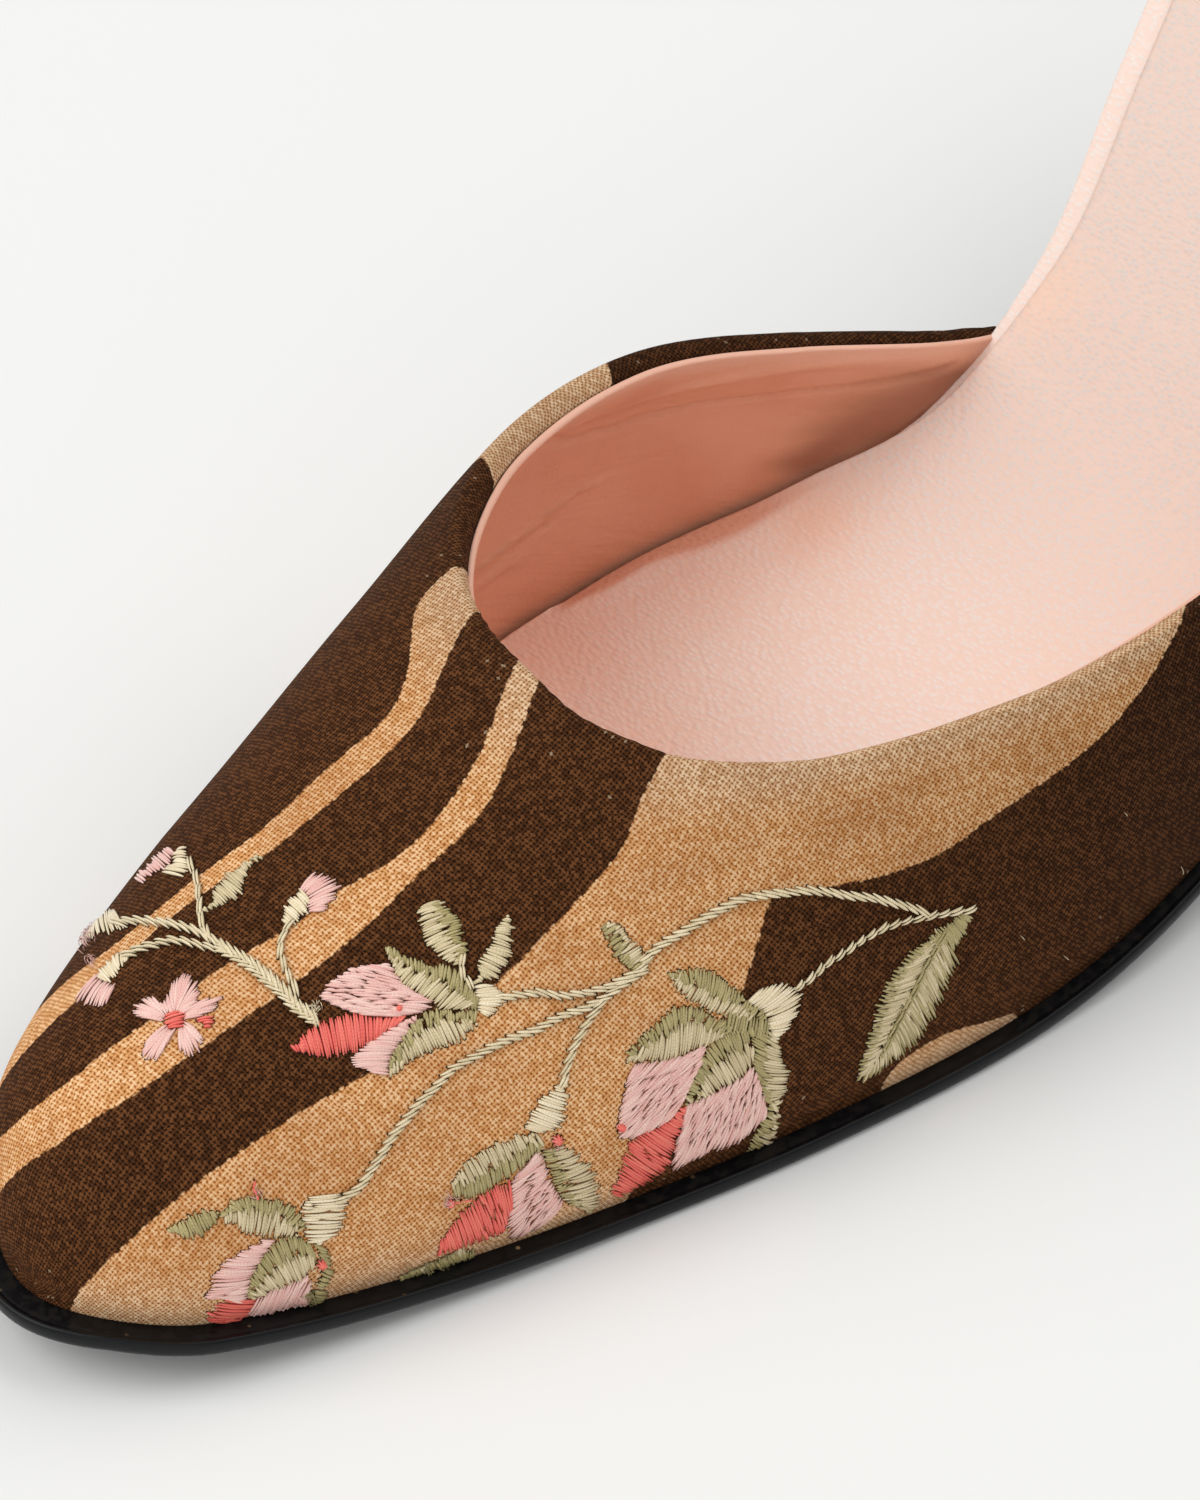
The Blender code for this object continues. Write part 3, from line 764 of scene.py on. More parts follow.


# Embroidery: charted from the photo, in its pixels. Each colour fills from one edge to the next,
# and a last number is how far apart its stitches lie.
leafRib = ((940, 934), (929, 954), (919, 974), (910, 993), (901, 1010), (891, 1028), (883, 1046), (868, 1068))
fills = {
    "flowerA": (
        ("ivory",
         ((747, 1001), (757, 1008), (767, 1016), (769, 1026), (771, 1037)),
         ((760, 990), (778, 984), (787, 983), (800, 993), (797, 1010), (790, 1023), (779, 1040))),
        ("olive",
         ((667, 974), (686, 971), (710, 971), (726, 981), (735, 991), (745, 1000), (755, 1006),
          (767, 1014)),
         ((672, 977), (690, 983), (708, 990), (722, 999), (738, 1006), (752, 1012), (762, 1017))),
        ("cream",
         ((672, 977), (690, 983), (708, 990), (722, 999), (738, 1006), (752, 1012)),
         ((672, 980), (681, 992), (692, 1000), (704, 1009), (716, 1013), (730, 1014), (745, 1021))),
        ("olive cream",
         ((627, 1053), (640, 1041), (651, 1030), (661, 1020), (674, 1009), (686, 1006), (698, 1008),
          (710, 1015), (723, 1021), (735, 1026)),
         ((631, 1055), (651, 1043), (672, 1029), (686, 1021), (698, 1020), (713, 1029), (726, 1032)),
         ((625, 1060), (637, 1061), (648, 1061), (664, 1060), (680, 1056), (690, 1052), (704, 1046),
          (719, 1038))),
        ("olive",
         ((732, 1004), (744, 1010), (757, 1016), (768, 1020)),
         ((726, 1033), (738, 1036), (750, 1038), (764, 1040))),
        ("pink",
         ((634, 1066), (648, 1061), (664, 1060), (680, 1057), (692, 1052), (706, 1045), (703, 1058),
          (695, 1073), (689, 1087), (684, 1101), (673, 1112)),
         ((630, 1074), (626, 1086), (623, 1098), (620, 1112), (618, 1122), (621, 1137), (630, 1137),
          (638, 1134), (650, 1131), (662, 1124), (668, 1118))),
        ("coral",
         ((683, 1106), (673, 1114), (666, 1122), (650, 1130), (640, 1132), (630, 1143), (625, 1158),
          (620, 1174), (612, 1193)),
         ((686, 1106), (685, 1110), (683, 1118), (681, 1126), (678, 1136), (674, 1148), (668, 1163),
          (652, 1179), (622, 1194))),
        ("olive cream",
         ((686, 1103), (687, 1093), (690, 1081), (696, 1067), (705, 1052), (713, 1039), (727, 1032),
          (738, 1029), (751, 1027)),
         ((690, 1101), (695, 1094), (702, 1084), (709, 1072), (717, 1062), (727, 1055), (737, 1050),
          (746, 1045), (752, 1042)),
         ((692, 1103), (699, 1099), (707, 1096), (719, 1090), (733, 1082), (742, 1077), (749, 1069),
          (752, 1058))),
        ("pink",
         ((687, 1105), (699, 1099), (707, 1096), (719, 1090), (733, 1082), (744, 1076), (752, 1068),
          (758, 1078), (761, 1090), (766, 1108)),
         ((683, 1118), (680, 1132), (676, 1147), (672, 1162), (674, 1169), (686, 1163), (699, 1157),
          (712, 1150), (728, 1146), (742, 1138), (755, 1128), (764, 1116))),
        ("olive cream",
         ((754, 1027), (752, 1045), (753, 1063), (760, 1082), (765, 1098)),
         ((770, 1034), (763, 1052), (765, 1070), (770, 1093), (771, 1104)),
         ((779, 1041), (782, 1060), (790, 1075), (786, 1089), (780, 1101))),
        ("olive",
         ((768, 1105), (764, 1118), (757, 1131), (750, 1145), (745, 1154)),
         ((774, 1106), (772, 1118), (767, 1131), (760, 1144), (748, 1156))),
        ("cream",
         ((774, 1106), (772, 1118), (767, 1131), (760, 1144)),
         ((778, 1110), (778, 1121), (776, 1132), (769, 1146))),
    ),
    "leafD": (
        ("olive cream",
         ((603, 927), (608, 940), (615, 955), (623, 964), (633, 972)),
         ((607, 924), (615, 934), (622, 945), (631, 957), (640, 966)),
         ((612, 922), (623, 930), (634, 941), (642, 953), (650, 959))),
    ),
    "leafC": (
        ("olive",
         ((935, 938), (912, 950), (894, 972), (884, 990), (876, 1010), (870, 1030), (864, 1050),
          (857, 1078)),
         ((940, 934), (926, 951), (911, 972), (902, 992), (893, 1010), (883, 1030), (875, 1046),
          (862, 1072)), 1.7),
        ("cream",
         ((917, 951), (899, 971), (889, 987), (881, 1007), (875, 1026), (868, 1045), (864, 1062),
          (857, 1078)),
         leafRib),
        ("olive",
         leafRib,
         ((957, 962), (948, 984), (939, 1004), (930, 1023), (917, 1043), (902, 1056), (884, 1068),
          (863, 1081)), 1.7),
        ("cream",
         leafRib,
         ((952, 962), (944, 982), (936, 1002), (926, 1022), (914, 1040), (898, 1054), (881, 1067),
          (863, 1080))),
        ("olive", ((944, 930), (953, 922), (962, 913)), ((952, 950), (962, 938), (970, 917)), 0.8),
        ("olive", ((930, 938), (938, 931), (946, 926)), ((944, 946), (952, 944), (958, 941)), 0.8),
    ),
    "flowerE": (
        ("ivory", ((475, 987), (476, 998), (480, 1012)), ((490, 985), (508, 997), (488, 1017))),
        ("cream olive",
         ((420, 907), (420, 921), (425, 941), (437, 951), (445, 959), (455, 963)),
         ((435, 903), (444, 921), (451, 937), (456, 948), (459, 957), (461, 961)),
         ((440, 902), (448, 909), (459, 923), (464, 941), (467, 951), (465, 961))),
        ("cream",
         ((506, 917), (498, 928), (491, 946), (478, 966), (480, 976), (471, 984)),
         ((509, 917), (513, 926), (511, 940), (509, 957), (497, 977), (474, 983))),
        ("olive",
         ((386, 946), (391, 949), (405, 958), (426, 965), (441, 967), (457, 969), (466, 980), (476, 996)),
         ((388, 952), (394, 959), (416, 971), (433, 976), (450, 987), (462, 998), (470, 1004),
          (478, 1010))),
        ("cream",
         ((388, 952), (394, 959), (416, 971), (433, 976), (450, 987), (462, 998), (470, 1004)),
         ((388, 956), (391, 966), (401, 983), (416, 994), (432, 1001), (441, 1008), (458, 1010))),
        ("olive cream",
         ((389, 1064), (394, 1051), (401, 1041), (410, 1026), (423, 1016), (437, 1010), (451, 1012),
          (476, 1012)),
         ((391, 1070), (397, 1061), (403, 1051), (416, 1035), (426, 1025), (441, 1021), (459, 1021),
          (474, 1021)),
         ((391, 1077), (405, 1062), (423, 1053), (441, 1048), (459, 1041), (469, 1032), (475, 1023))),
        ("pink",
         ((380, 965), (358, 967), (339, 976), (326, 987), (320, 996), (330, 1003), (344, 1009),
          (357, 1013), (369, 1015)),
         ((390, 965), (394, 974), (400, 980), (406, 986), (416, 994), (432, 1001), (428, 1010),
          (416, 1014), (391, 1016))),
        ("coral",
         ((293, 1047), (303, 1037), (316, 1026), (337, 1018), (355, 1014), (380, 1017), (405, 1017)),
         ((297, 1051), (307, 1053), (323, 1057), (339, 1055), (355, 1051), (369, 1046), (394, 1025))),
        ("pink",
         ((416, 1017), (398, 1023), (384, 1032), (371, 1041), (359, 1051), (350, 1059), (357, 1067),
          (373, 1071)),
         ((416, 1018), (409, 1028), (405, 1035), (401, 1041), (397, 1047), (393, 1053), (390, 1063),
          (387, 1073))),
    ),
    "flowerF": (
        ("ivory",
         ((311, 1198), (303, 1211), (304, 1219), (306, 1227), (308, 1240), (316, 1244)),
         ((341, 1193), (345, 1204), (345, 1213), (343, 1223), (336, 1233), (324, 1241))),
        ("olive",
         ((170, 1231), (183, 1220), (200, 1213), (216, 1211)),
         ((173, 1232), (190, 1238), (210, 1230), (218, 1216))),
        ("olive cream",
         ((220, 1215), (231, 1203), (243, 1198), (256, 1197), (273, 1200), (286, 1205), (298, 1213),
          (304, 1226)),
         ((225, 1213), (235, 1207), (246, 1208), (261, 1213), (276, 1213), (286, 1218), (292, 1224),
          (296, 1231)),
         ((226, 1223), (238, 1225), (245, 1233), (260, 1235), (276, 1236), (285, 1236), (291, 1235),
          (296, 1233))),
        ("olive cream",
         ((309, 1245), (297, 1235), (286, 1236), (276, 1241), (267, 1250), (258, 1263), (253, 1276),
          (248, 1288), (246, 1294)),
         ((312, 1254), (304, 1254), (296, 1254), (288, 1259), (280, 1265), (272, 1272), (264, 1279),
          (256, 1287), (250, 1294)),
         ((312, 1266), (309, 1271), (306, 1275), (300, 1280), (292, 1283), (283, 1286), (273, 1290),
          (265, 1294), (258, 1297))),
        ("olive",
         ((316, 1246), (322, 1256), (322, 1275), (316, 1288), (311, 1297), (302, 1307)),
         ((326, 1250), (332, 1269), (329, 1281), (325, 1290), (326, 1301), (319, 1309))),
        ("pink",
         ((263, 1241), (246, 1250), (229, 1259), (220, 1270), (211, 1278), (213, 1286), (206, 1297),
          (226, 1297)),
         ((274, 1241), (266, 1250), (259, 1262), (255, 1270), (252, 1277), (249, 1283), (247, 1292),
          (244, 1301))),
        ("pink",
         ((258, 1299), (266, 1294), (276, 1288), (293, 1283), (306, 1276), (312, 1287), (309, 1298)),
         ((245, 1317), (250, 1319), (258, 1318), (266, 1317), (283, 1313), (295, 1309), (301, 1306))),
        ("coral",
         ((226, 1299), (216, 1306), (211, 1311), (206, 1318), (209, 1321), (222, 1321)),
         ((258, 1299), (258, 1303), (252, 1311), (247, 1316), (243, 1319), (233, 1321))),
    ),
    "flowerG": (
        ("ivory",
         ((560, 1084), (551, 1091), (541, 1100), (535, 1111), (527, 1122), (528, 1129)),
         ((565, 1083), (567, 1095), (567, 1104), (563, 1116), (559, 1126), (545, 1133))),
        ("cream olive",
         ((452, 1182), (462, 1168), (472, 1160), (480, 1153), (493, 1146), (504, 1142), (515, 1137),
          (527, 1136), (536, 1134)),
         ((453, 1188), (462, 1186), (471, 1181), (479, 1177), (496, 1166), (507, 1159), (518, 1151),
          (531, 1143), (539, 1139)),
         ((455, 1196), (469, 1199), (483, 1191), (490, 1187), (499, 1182), (511, 1177), (521, 1167),
          (532, 1157), (539, 1150))),
        ("olive cream",
         ((543, 1151), (550, 1168), (555, 1185), (560, 1196), (569, 1201), (586, 1210)),
         ((555, 1149), (562, 1165), (567, 1182), (570, 1196), (578, 1202), (588, 1209)),
         ((566, 1146), (576, 1153), (581, 1161), (591, 1166), (595, 1178), (598, 1192), (598, 1205),
          (590, 1210))),
        ("pink",
         ((535, 1153), (542, 1154), (546, 1165), (547, 1176), (553, 1188), (556, 1196), (562, 1201),
          (556, 1211)),
         ((529, 1161), (520, 1172), (511, 1183), (506, 1195), (508, 1208), (505, 1222), (510, 1236),
          (519, 1237), (527, 1231), (540, 1225), (549, 1212))),
        ("coral",
         ((440, 1246), (446, 1233), (454, 1222), (465, 1209), (476, 1199), (487, 1191), (499, 1185),
          (508, 1182)),
         ((438, 1254), (446, 1252), (458, 1249), (470, 1245), (480, 1241), (490, 1236), (503, 1230),
          (511, 1213))),
    ),
    "soleLeaf": (
        ("olive",
         ((403, 1276), (415, 1270), (428, 1265), (442, 1259), (456, 1254), (472, 1251)),
         ((398, 1280), (412, 1278), (426, 1275), (440, 1270), (455, 1265), (470, 1259))),
        ("cream", ((424, 1266), (427, 1266)), ((423, 1281), (429, 1283))),
        ("cream", ((459, 1249), (463, 1248)), ((460, 1263), (464, 1264))),
    ),
    "toeSprig": (
        ("ivory",
         ((88, 941), (98, 935), (112, 931), (123, 929)),
         ((92, 929), (98, 918), (110, 908), (116, 912))),
        ("ivory", ((165, 872), (173, 862), (175, 851)), ((182, 876), (190, 866), (187, 848))),
        ("pink",
         ((136, 878), (145, 869), (156, 858), (168, 849)),
         ((142, 882), (156, 872), (166, 868), (174, 854))),
        ("cream",
         ((259, 857), (244, 864), (228, 874), (219, 884), (215, 895), (212, 903), (204, 911)),
         ((261, 858), (249, 866), (246, 875), (244, 887), (240, 894), (228, 903), (206, 912))),
        ("ivory",
         ((131, 952), (121, 954), (110, 960), (102, 968), (98, 977)),
         ((125, 962), (120, 970), (114, 977), (110, 980), (106, 981))),
        ("pink", ((98, 974), (106, 981), (115, 987)), ((77, 1000), (94, 1007), (107, 1004))),
        ("ivory",
         ((283, 920), (286, 908), (293, 897), (300, 889)),
         ((290, 926), (298, 920), (306, 913), (309, 902))),
        ("pink",
         ((300, 889), (306, 897), (309, 903), (312, 912)),
         ((312, 875), (325, 874), (339, 886), (327, 910))),
        ("pink",
         ((172, 1014), (176, 1012), (181, 1013)),
         ((167, 1000), (173, 983), (187, 972), (194, 980), (199, 989), (196, 1003))),
        ("pink",
         ((183, 1012), (186, 1014), (187, 1018)),
         ((192, 1009), (207, 1000), (221, 998), (216, 1008), (203, 1015))),
        ("pink",
         ((187, 1024), (184, 1028), (179, 1031)),
         ((199, 1034), (205, 1041), (200, 1049), (190, 1056), (180, 1050))),
        ("pink",
         ((174, 1031), (170, 1030), (165, 1027)),
         ((163, 1047), (157, 1060), (146, 1061), (142, 1055), (147, 1041))),
        ("pink",
         ((167, 1012), (163, 1015), (162, 1021)),
         ((167, 1005), (150, 998), (136, 1006), (135, 1016), (150, 1018))),
        ("coral", ((164, 1017), (165, 1024), (170, 1029)), ((182, 1012), (186, 1018), (184, 1026))),
        ("coral", ((199, 1019), (201, 1023), (203, 1026)), ((213, 1018), (215, 1022), (211, 1026))),
    ),
}

# Stems: colour, lean of each two-ply stitch, mm from stitch to stitch, its length in mm, and its line
stems = (
    ("stem", 0.34, 1.05, 1.75,
     ((640, 968), (648, 955), (663, 943), (682, 932), (705, 917), (728, 905), (742, 898), (770, 894),
      (809, 890), (828, 892), (847, 895), (869, 897), (900, 904), (922, 911))),
    ("stem", -0.36, 1.15, 1.40,
     ((799, 985), (809, 978), (826, 962), (841, 953), (860, 940), (880, 928), (905, 920), (930, 915),
      (952, 911), (968, 909))),
    ("stem", 0.32, 1.05, 1.70,
     ((631, 974), (612, 985), (590, 992), (560, 996), (541, 993), (523, 994), (508, 997))),
    ("stem", 0.34, 1.05, 1.75,
     ((640, 972), (625, 982), (606, 996), (585, 1008), (560, 1016), (534, 1030), (501, 1042),
      (469, 1059), (451, 1069), (437, 1085), (421, 1100), (405, 1120), (394, 1133), (380, 1155),
      (367, 1175), (357, 1188), (342, 1198))),
    ("stem", 0.32, 1.05, 1.70, ((600, 1003), (585, 1025), (574, 1045), (566, 1065), (563, 1080))),
    ("stem", 0.20, 1.10, 1.60, ((462, 960), (462, 973), (469, 983))),
    ("stem", 0.55, 0.75, 1.90,
     ((314, 1018), (297, 1006), (286, 993), (270, 979), (255, 966), (240, 957), (224, 948))),
    ("stem", -0.40, 0.80, 1.50,
     ((312, 1022), (296, 1011), (284, 998), (268, 984), (253, 971), (238, 961), (222, 952))),
    ("stem", 0.36, 1.00, 1.75,
     ((224, 949), (211, 939), (194, 931), (178, 926), (163, 924), (148, 922), (133, 922), (119, 924))),
    ("stem", 0.20, 1.15, 1.70,
     ((208, 935), (203, 926), (201, 914), (200, 901), (199, 887), (196, 874), (192, 866))),
    ("stem", 0.30, 1.05, 1.70,
     ((222, 950), (205, 948), (190, 943), (175, 942), (161, 944), (148, 948), (136, 952), (129, 956))),
    ("stem", 0.20, 1.15, 1.70, ((295, 989), (288, 975), (282, 960), (280, 949), (283, 937), (289, 926))),
    ("olive", 0.10, 1.30, 1.90,
     ((941, 936), (930, 955), (920, 975), (911, 994), (902, 1012), (892, 1030), (886, 1043))),
)
# Fuzz and lint: colour, hairs, and the middle and half sides of the spot that they lie in
fuzz = (
    ("pink", 80, 85, 936, 8, 17),
    ("ivory", 30, 313, 1009, 8, 6),
    ("pink", 16, 448, 1200, 6, 5),
    ("pink", 14, 258, 1193, 5, 5),
    ("pink", 16, 556, 1143, 6, 6),
    ("pink", 12, 93, 962, 4, 5),
    ("olive", 26, 436, 1268, 34, 8),
    ("olive", 12, 312, 1304, 12, 5),
    ("ivory", 1, 1126, 816, 2, 2),
    ("ivory", 1, 1182, 871, 2, 2),
    ("ivory", 1, 1193, 875, 2, 2),
    ("ivory", 1, 1021, 935, 2, 2),
    ("ivory", 1, 1064, 955, 2, 2),
)
knots = (("coral", 621, 1127, 5), ("coral", 399, 1009, 4), ("coral", 322, 1264, 6), ("coral", 557, 1140, 6),
         ("coral", 450, 1203, 5))
looseThreads = (
    ("coral", ((254, 1180), (252, 1188), (256, 1194), (257, 1200))),
    ("coral", ((452, 1201), (461, 1200), (472, 1197))),
)
thread = {
    "pitch": 2.75,  # pixels from stitch to stitch
    "half": 0.185,  # mm, half a strand's width
    "thick": 0.18,  # mm, half its height
    "unevenWidth": (0.85, 1.15),
    "pile": 0.08,  # mm that one strand may lie over another
    "pinch": (0.04, 0.45),  # how thin its ends are, and how soon it is full
    "archRound": 0.6,
    "arch": 0.14,  # mm, how far a stitch stands off the cloth in its middle
    "shortest": 18.0,  # pixels: a long line is worked as several stitches, end to end
    "longest": 34.0,
    "apart": 0.2,  # pixels between two such stitches
    "innerMarks": 0.35,  # share of those places where a needle's mark shows
    "jag": 3.4,  # pixels, how unevenly the ends lie
    "jagStart": (-0.4, 1.0),  # shares of that, inwards and outwards
    "jagEnd": (-0.6, 1.0),
    "interlock": 10.0,  # pixels that two colours run into each other on a shared edge
    "sway": 1.1,  # pixels, how far a stitch leans to the side
    "sides": 6,
    "points": 6,
    "stem": {"half": 0.165, "arch": 0.2, "lift": 0.02, "tilt": 0.16},  # mm, each stitch tilts over the next
    "plyApart": 0.15,  # mm from a stem stitch's middle to each ply
    "unevenLean": (0.85, 1.15),
    "unevenStem": (0.9, 1.1),
    "knot": {"arch": 0.32, "lift": 0.05},
    "knotStrands": 4,
    "loose": {"half": 0.12, "arch": 0.3, "lift": 0.15},
    "hair": {"half": 0.035, "lift": 0.05, "marks": (False, False)},
    "hairArch": (0.15, 0.6),
    "hairSpread": 0.5,
    "hairLength": (3.0, 9.0),  # pixels
    "holeRadius": (0.08, 0.16),  # mm, the needle's hole at a stitch's end, with its painted shade
    "holeLift": 0.04,  # mm off the cloth
    "holeAcross": (0.3, 0.2, 1.0),  # its first side is square to this
    # painted shade inside the needle holes
    "holeShadeColour": ((0.012, 0.007, 0.004), (0.05, 0.03, 0.018)),
    "shade": 0.6,  # painted shade: how dark a strand's sides are beside its painted lit crown
    "seed": 11,
    "colours": {
        "pink": ((0.84, 0.44, 0.385), (0.95, 0.66, 0.575)),
        "coral": ((0.82, 0.10, 0.08), (0.95, 0.22, 0.16)),
        "ivory": ((0.80, 0.65, 0.405), (0.97, 0.85, 0.61)),
        "olive": ((0.32, 0.265, 0.10), (0.53, 0.44, 0.20)),
        "cream": ((0.55, 0.44, 0.235), (0.81, 0.68, 0.435)),
        "stem": ((0.66, 0.54, 0.32), (0.90, 0.77, 0.52)),
    },
}
dice = random.Random(thread["seed"])
strands = {colour: [] for colour in thread["colours"]}
needleMarks = []


def resample(points, count):
    points = np.array(points, float)
    run = runAlong(points)
    places = np.linspace(0, run[-1], count)
    return np.column_stack([np.interp(places, run, points[:, k]) for k in (0, 1)])


def runLength(points):
    return np.linalg.norm(np.diff(np.array(points, float), axis=0), axis=1).sum()


def castLine(pixels):  # points and normals on the cloth below a line of pixels
    found = [onCloth(px, py)[:2] for px, py in pixels]
    return np.array([point for point, normal in found]), np.array([normal for point, normal in found])


def layStrand(colour, start, end, half=None, arch=None, lift=0.0, tilt=0.0, marks=(True, True)):
    pixels = start + (end - start) * np.linspace(0, 1, thread["points"])[:, None]
    points, normals = castLine(pixels)
    width = (half or thread["half"]) * dice.uniform(*thread["unevenWidth"])
    lift += dice.uniform(0, thread["pile"])
    strands[colour].append((points, normals, width, arch or thread["arch"], lift, tilt))
    needleMarks.extend((points[end], normals[end]) for end, marked in zip((0, -1), marks) if marked)


def satinFill(colour, first, second, spacing, jags):
    count = max(3, round(max(runLength(first), runLength(second)) / thread["pitch"] / spacing))
    for start, end in zip(resample(first, count), resample(second, count)):
        along = unit(end - start)
        beside = np.array([-along[1], along[0]])
        start = start - along * dice.uniform(*thread["jagStart"]) * jags[0]
        reach = np.linalg.norm(end - start) + dice.uniform(*thread["jagEnd"]) * jags[1]
        stops = [0.0]
        while reach - stops[-1] > thread["longest"] + thread["shortest"] / 2:
            shortest = thread["shortest"] / (2 if len(stops) == 1 else 1)
            stops.append(stops[-1] + dice.uniform(shortest, thread["longest"]))
        for low, high in zip(stops, stops[1:] + [reach]):
            ends = [start + along * place + beside * dice.uniform(-1, 1) * thread["sway"]
                    for place in (low, high - thread["apart"])]
            inner = dice.random() < thread["innerMarks"]
            layStrand(colour, *ends, marks=(low == 0 or inner, high == reach))


def bandFills(band):  # each colour with the edges that it lies between, and its spacing
    colours, *edges = band
    spacing = edges.pop() if isinstance(edges[-1], float) else 1.0
    return [(colour, *pair, spacing) for colour, *pair in zip(colours.split(), edges, edges[1:])]


def fillGroup(group):  # where one fill ends on the edge that another starts from, the two colours interlock
    made = [fill for band in group for fill in bandFills(band)]
    starts = {first[:2] for colour, first, second, spacing in made}
    ends = {second[:2] for colour, first, second, spacing in made}
    for colour, first, second, spacing in made:
        shared = first[:2] in ends, second[:2] in starts
        jags = [thread["interlock" if edge else "jag"] for edge in shared]
        satinFill(colour, first, second, spacing, jags)


def stemStitch(colour, lean, step, length, line):
    pixelsPerMm = view["focal"] / view["distance"]
    middle = resample(line, max(3, round(runLength(line) / pixelsPerMm / step)))
    along = unit(np.gradient(middle, axis=0))
    across = np.column_stack([-along[:, 1], along[:, 0]])
    for place, ahead, beside in zip(middle, along, across):
        turn = lean * dice.uniform(*thread["unevenLean"])
        run = ahead * math.cos(turn) + beside * math.sin(turn)
        reach = run * length / 2 * pixelsPerMm * dice.uniform(*thread["unevenStem"])
        for side in (-1, 1):
            ply = place + np.array([-run[1], run[0]]) * side * thread["plyApart"] * pixelsPerMm
            layStrand(colour, ply - reach, ply + reach, **thread["stem"], marks=(side < 0, side > 0))


def knotStitch(colour, px, py, radius):
    middle = np.array([px, py])
    for turn in np.linspace(0, math.pi, thread["knotStrands"] + 1)[:-1]:
        reach = np.array([math.cos(turn), math.sin(turn)]) * radius
        layStrand(colour, middle - reach, middle + reach, **thread["knot"])


def fuzzSpot(colour, hairs, px, py, *halves):
    for hair in range(hairs):
        away = [dice.gauss(0, thread["hairSpread"]) * half for half in halves]
        middle = np.array([px, py]) + away
        turn = dice.uniform(0, math.pi)
        reach = np.array([math.cos(turn), math.sin(turn)]) * dice.uniform(*thread["hairLength"]) / 2
        arch = dice.uniform(*thread["hairArch"])
        layStrand(colour, middle - reach, middle + reach, arch=arch, **thread["hair"])


# Every strand is a copy of one plain tube, and every needle mark of one disc
ringTurn = np.linspace(0, 2 * np.pi, thread["sides"], endpoint=False)


def plainTube():
    shape, length = bmesh.new(), thread["points"] - 1
    bmesh.ops.create_cone(shape, cap_ends=True, segments=thread["sides"], radius1=1, radius2=1, depth=length)
    lengthwise = [edge for edge in shape.edges if edge.verts[0].co.z * edge.verts[1].co.z < 0]
    bmesh.ops.subdivide_edges(shape, edges=lengthwise, cuts=length - 1)
    bmesh.ops.recalc_face_normals(shape, faces=shape.faces)
    bmesh.ops.reverse_faces(shape, faces=shape.faces)  # a strand's side, height and run are left-handed
    return shape


def plainDisc():
    shape = bmesh.new()
    bmesh.ops.create_circle(shape, cap_ends=True, segments=thread["sides"], radius=1)
    return shape


def copyShape(plain, fields):  # a copy for each field of points, and the ring and side of each of its verts
    at = np.array([vert.co for vert in plain.verts])
    ring = np.rint(at[:, 2] - at[:, 2].min()).astype(int)
    side = np.rint(np.arctan2(-at[:, 0], at[:, 1]) / ringTurn[1]).astype(int) % len(ringTurn)
    mesh = bpy.data.meshes.new("plain")
    plain.to_mesh(mesh)
    plain.free()
    shape = bmesh.new()
    for field in fields:
        shape.from_mesh(mesh)
    bpy.data.meshes.remove(mesh)
    putVerts(shape, np.concatenate([field[ring, side] for field in fields]))
    return shape, ring, side


def strandField(points, normals, half, arch, lift, tilt):  # its rings, pinched where it enters the cloth
    share = np.linspace(0, 1, len(points))
    rise = (lift + tilt * share + arch * np.sin(np.pi * share) ** thread["archRound"])[:, None] * mm
    thin, full = thread["pinch"]
    pinch = np.sin(np.pi * np.clip(share, thin, 1 - thin)) ** full
    side = unit(np.cross(unit(np.gradient(points, axis=0)), normals))
    wide = np.cos(ringTurn)[None, :, None] * side[:, None, :] * half
    high = np.sin(ringTurn)[None, :, None] * normals[:, None, :] * min(thread["thick"], half)
    return (points + normals * rise)[:, None, :] + (wide + high) * pinch[:, None, None] * mm


def strandPlace(points):  # mm along the strand, how near its crown, and a draw for each strand
    run = np.linalg.norm(points[-1] - points[0]) / mm * np.linspace(0, 1, len(points))
    return np.stack(np.broadcast_arrays(run[:, None], np.sin(ringTurn), dice.random()), axis=-1)


def threadFinish(colour):
    deep, pale = thread["colours"][colour]
    material, tree, shader = startFinish(colour + "Thread", roughness=0.36)
    place = addNode(tree, "Attribute", {"attribute_name": "threadPlace"}).outputs["Vector"]
    along, crown, chance = addNode(tree, "SeparateXYZ", vector=place).outputs
    twist = calc(tree, "ADD", calc(tree, "MULTIPLY", along, 9.0), calc(tree, "MULTIPLY", crown, 4.0))
    ply = calc(tree, "ABSOLUTE", calc(tree, "SINE", twist))
    tone = calc(tree, "ADD", calc(tree, "MULTIPLY", chance, 0.7), calc(tree, "MULTIPLY", ply, 0.3))
    colours = blendColour(tree, tone, deep, pale)
    # painted shade on a strand's sides and a painted highlight on its crown
    low = tuple(part * thread["shade"] for part in deep)
    lit = span(tree, crown, -0.1, 0.75)
    setSocket(tree, shader.inputs["Base Color"], blendColour(tree, lit, low, colours))
    setSocket(tree, shader.inputs["Normal"], bump(tree, ply, 0.05, 0.5))
    return material


def makeThreads():
    for group in fills.values():
        fillGroup(group)
    for stem in stems:
        stemStitch(*stem)
    for knot in knots:
        knotStitch(*knot)
    for spot in fuzz:
        fuzzSpot(*spot)
    for colour, line in looseThreads:
        for start, end in zip(line, line[1:]):
            layStrand(colour, np.array(start, float), np.array(end, float), **thread["loose"])
    for colour, laid in strands.items():
        shape, ring, side = copyShape(plainTube(), [strandField(*strand) for strand in laid])
        places = np.concatenate([strandPlace(points)[ring, side] for points, *sizes in laid])
        finish = threadFinish(colour)
        addPiece(colour + "Threads", shape, finish, None, {"threadPlace": places})


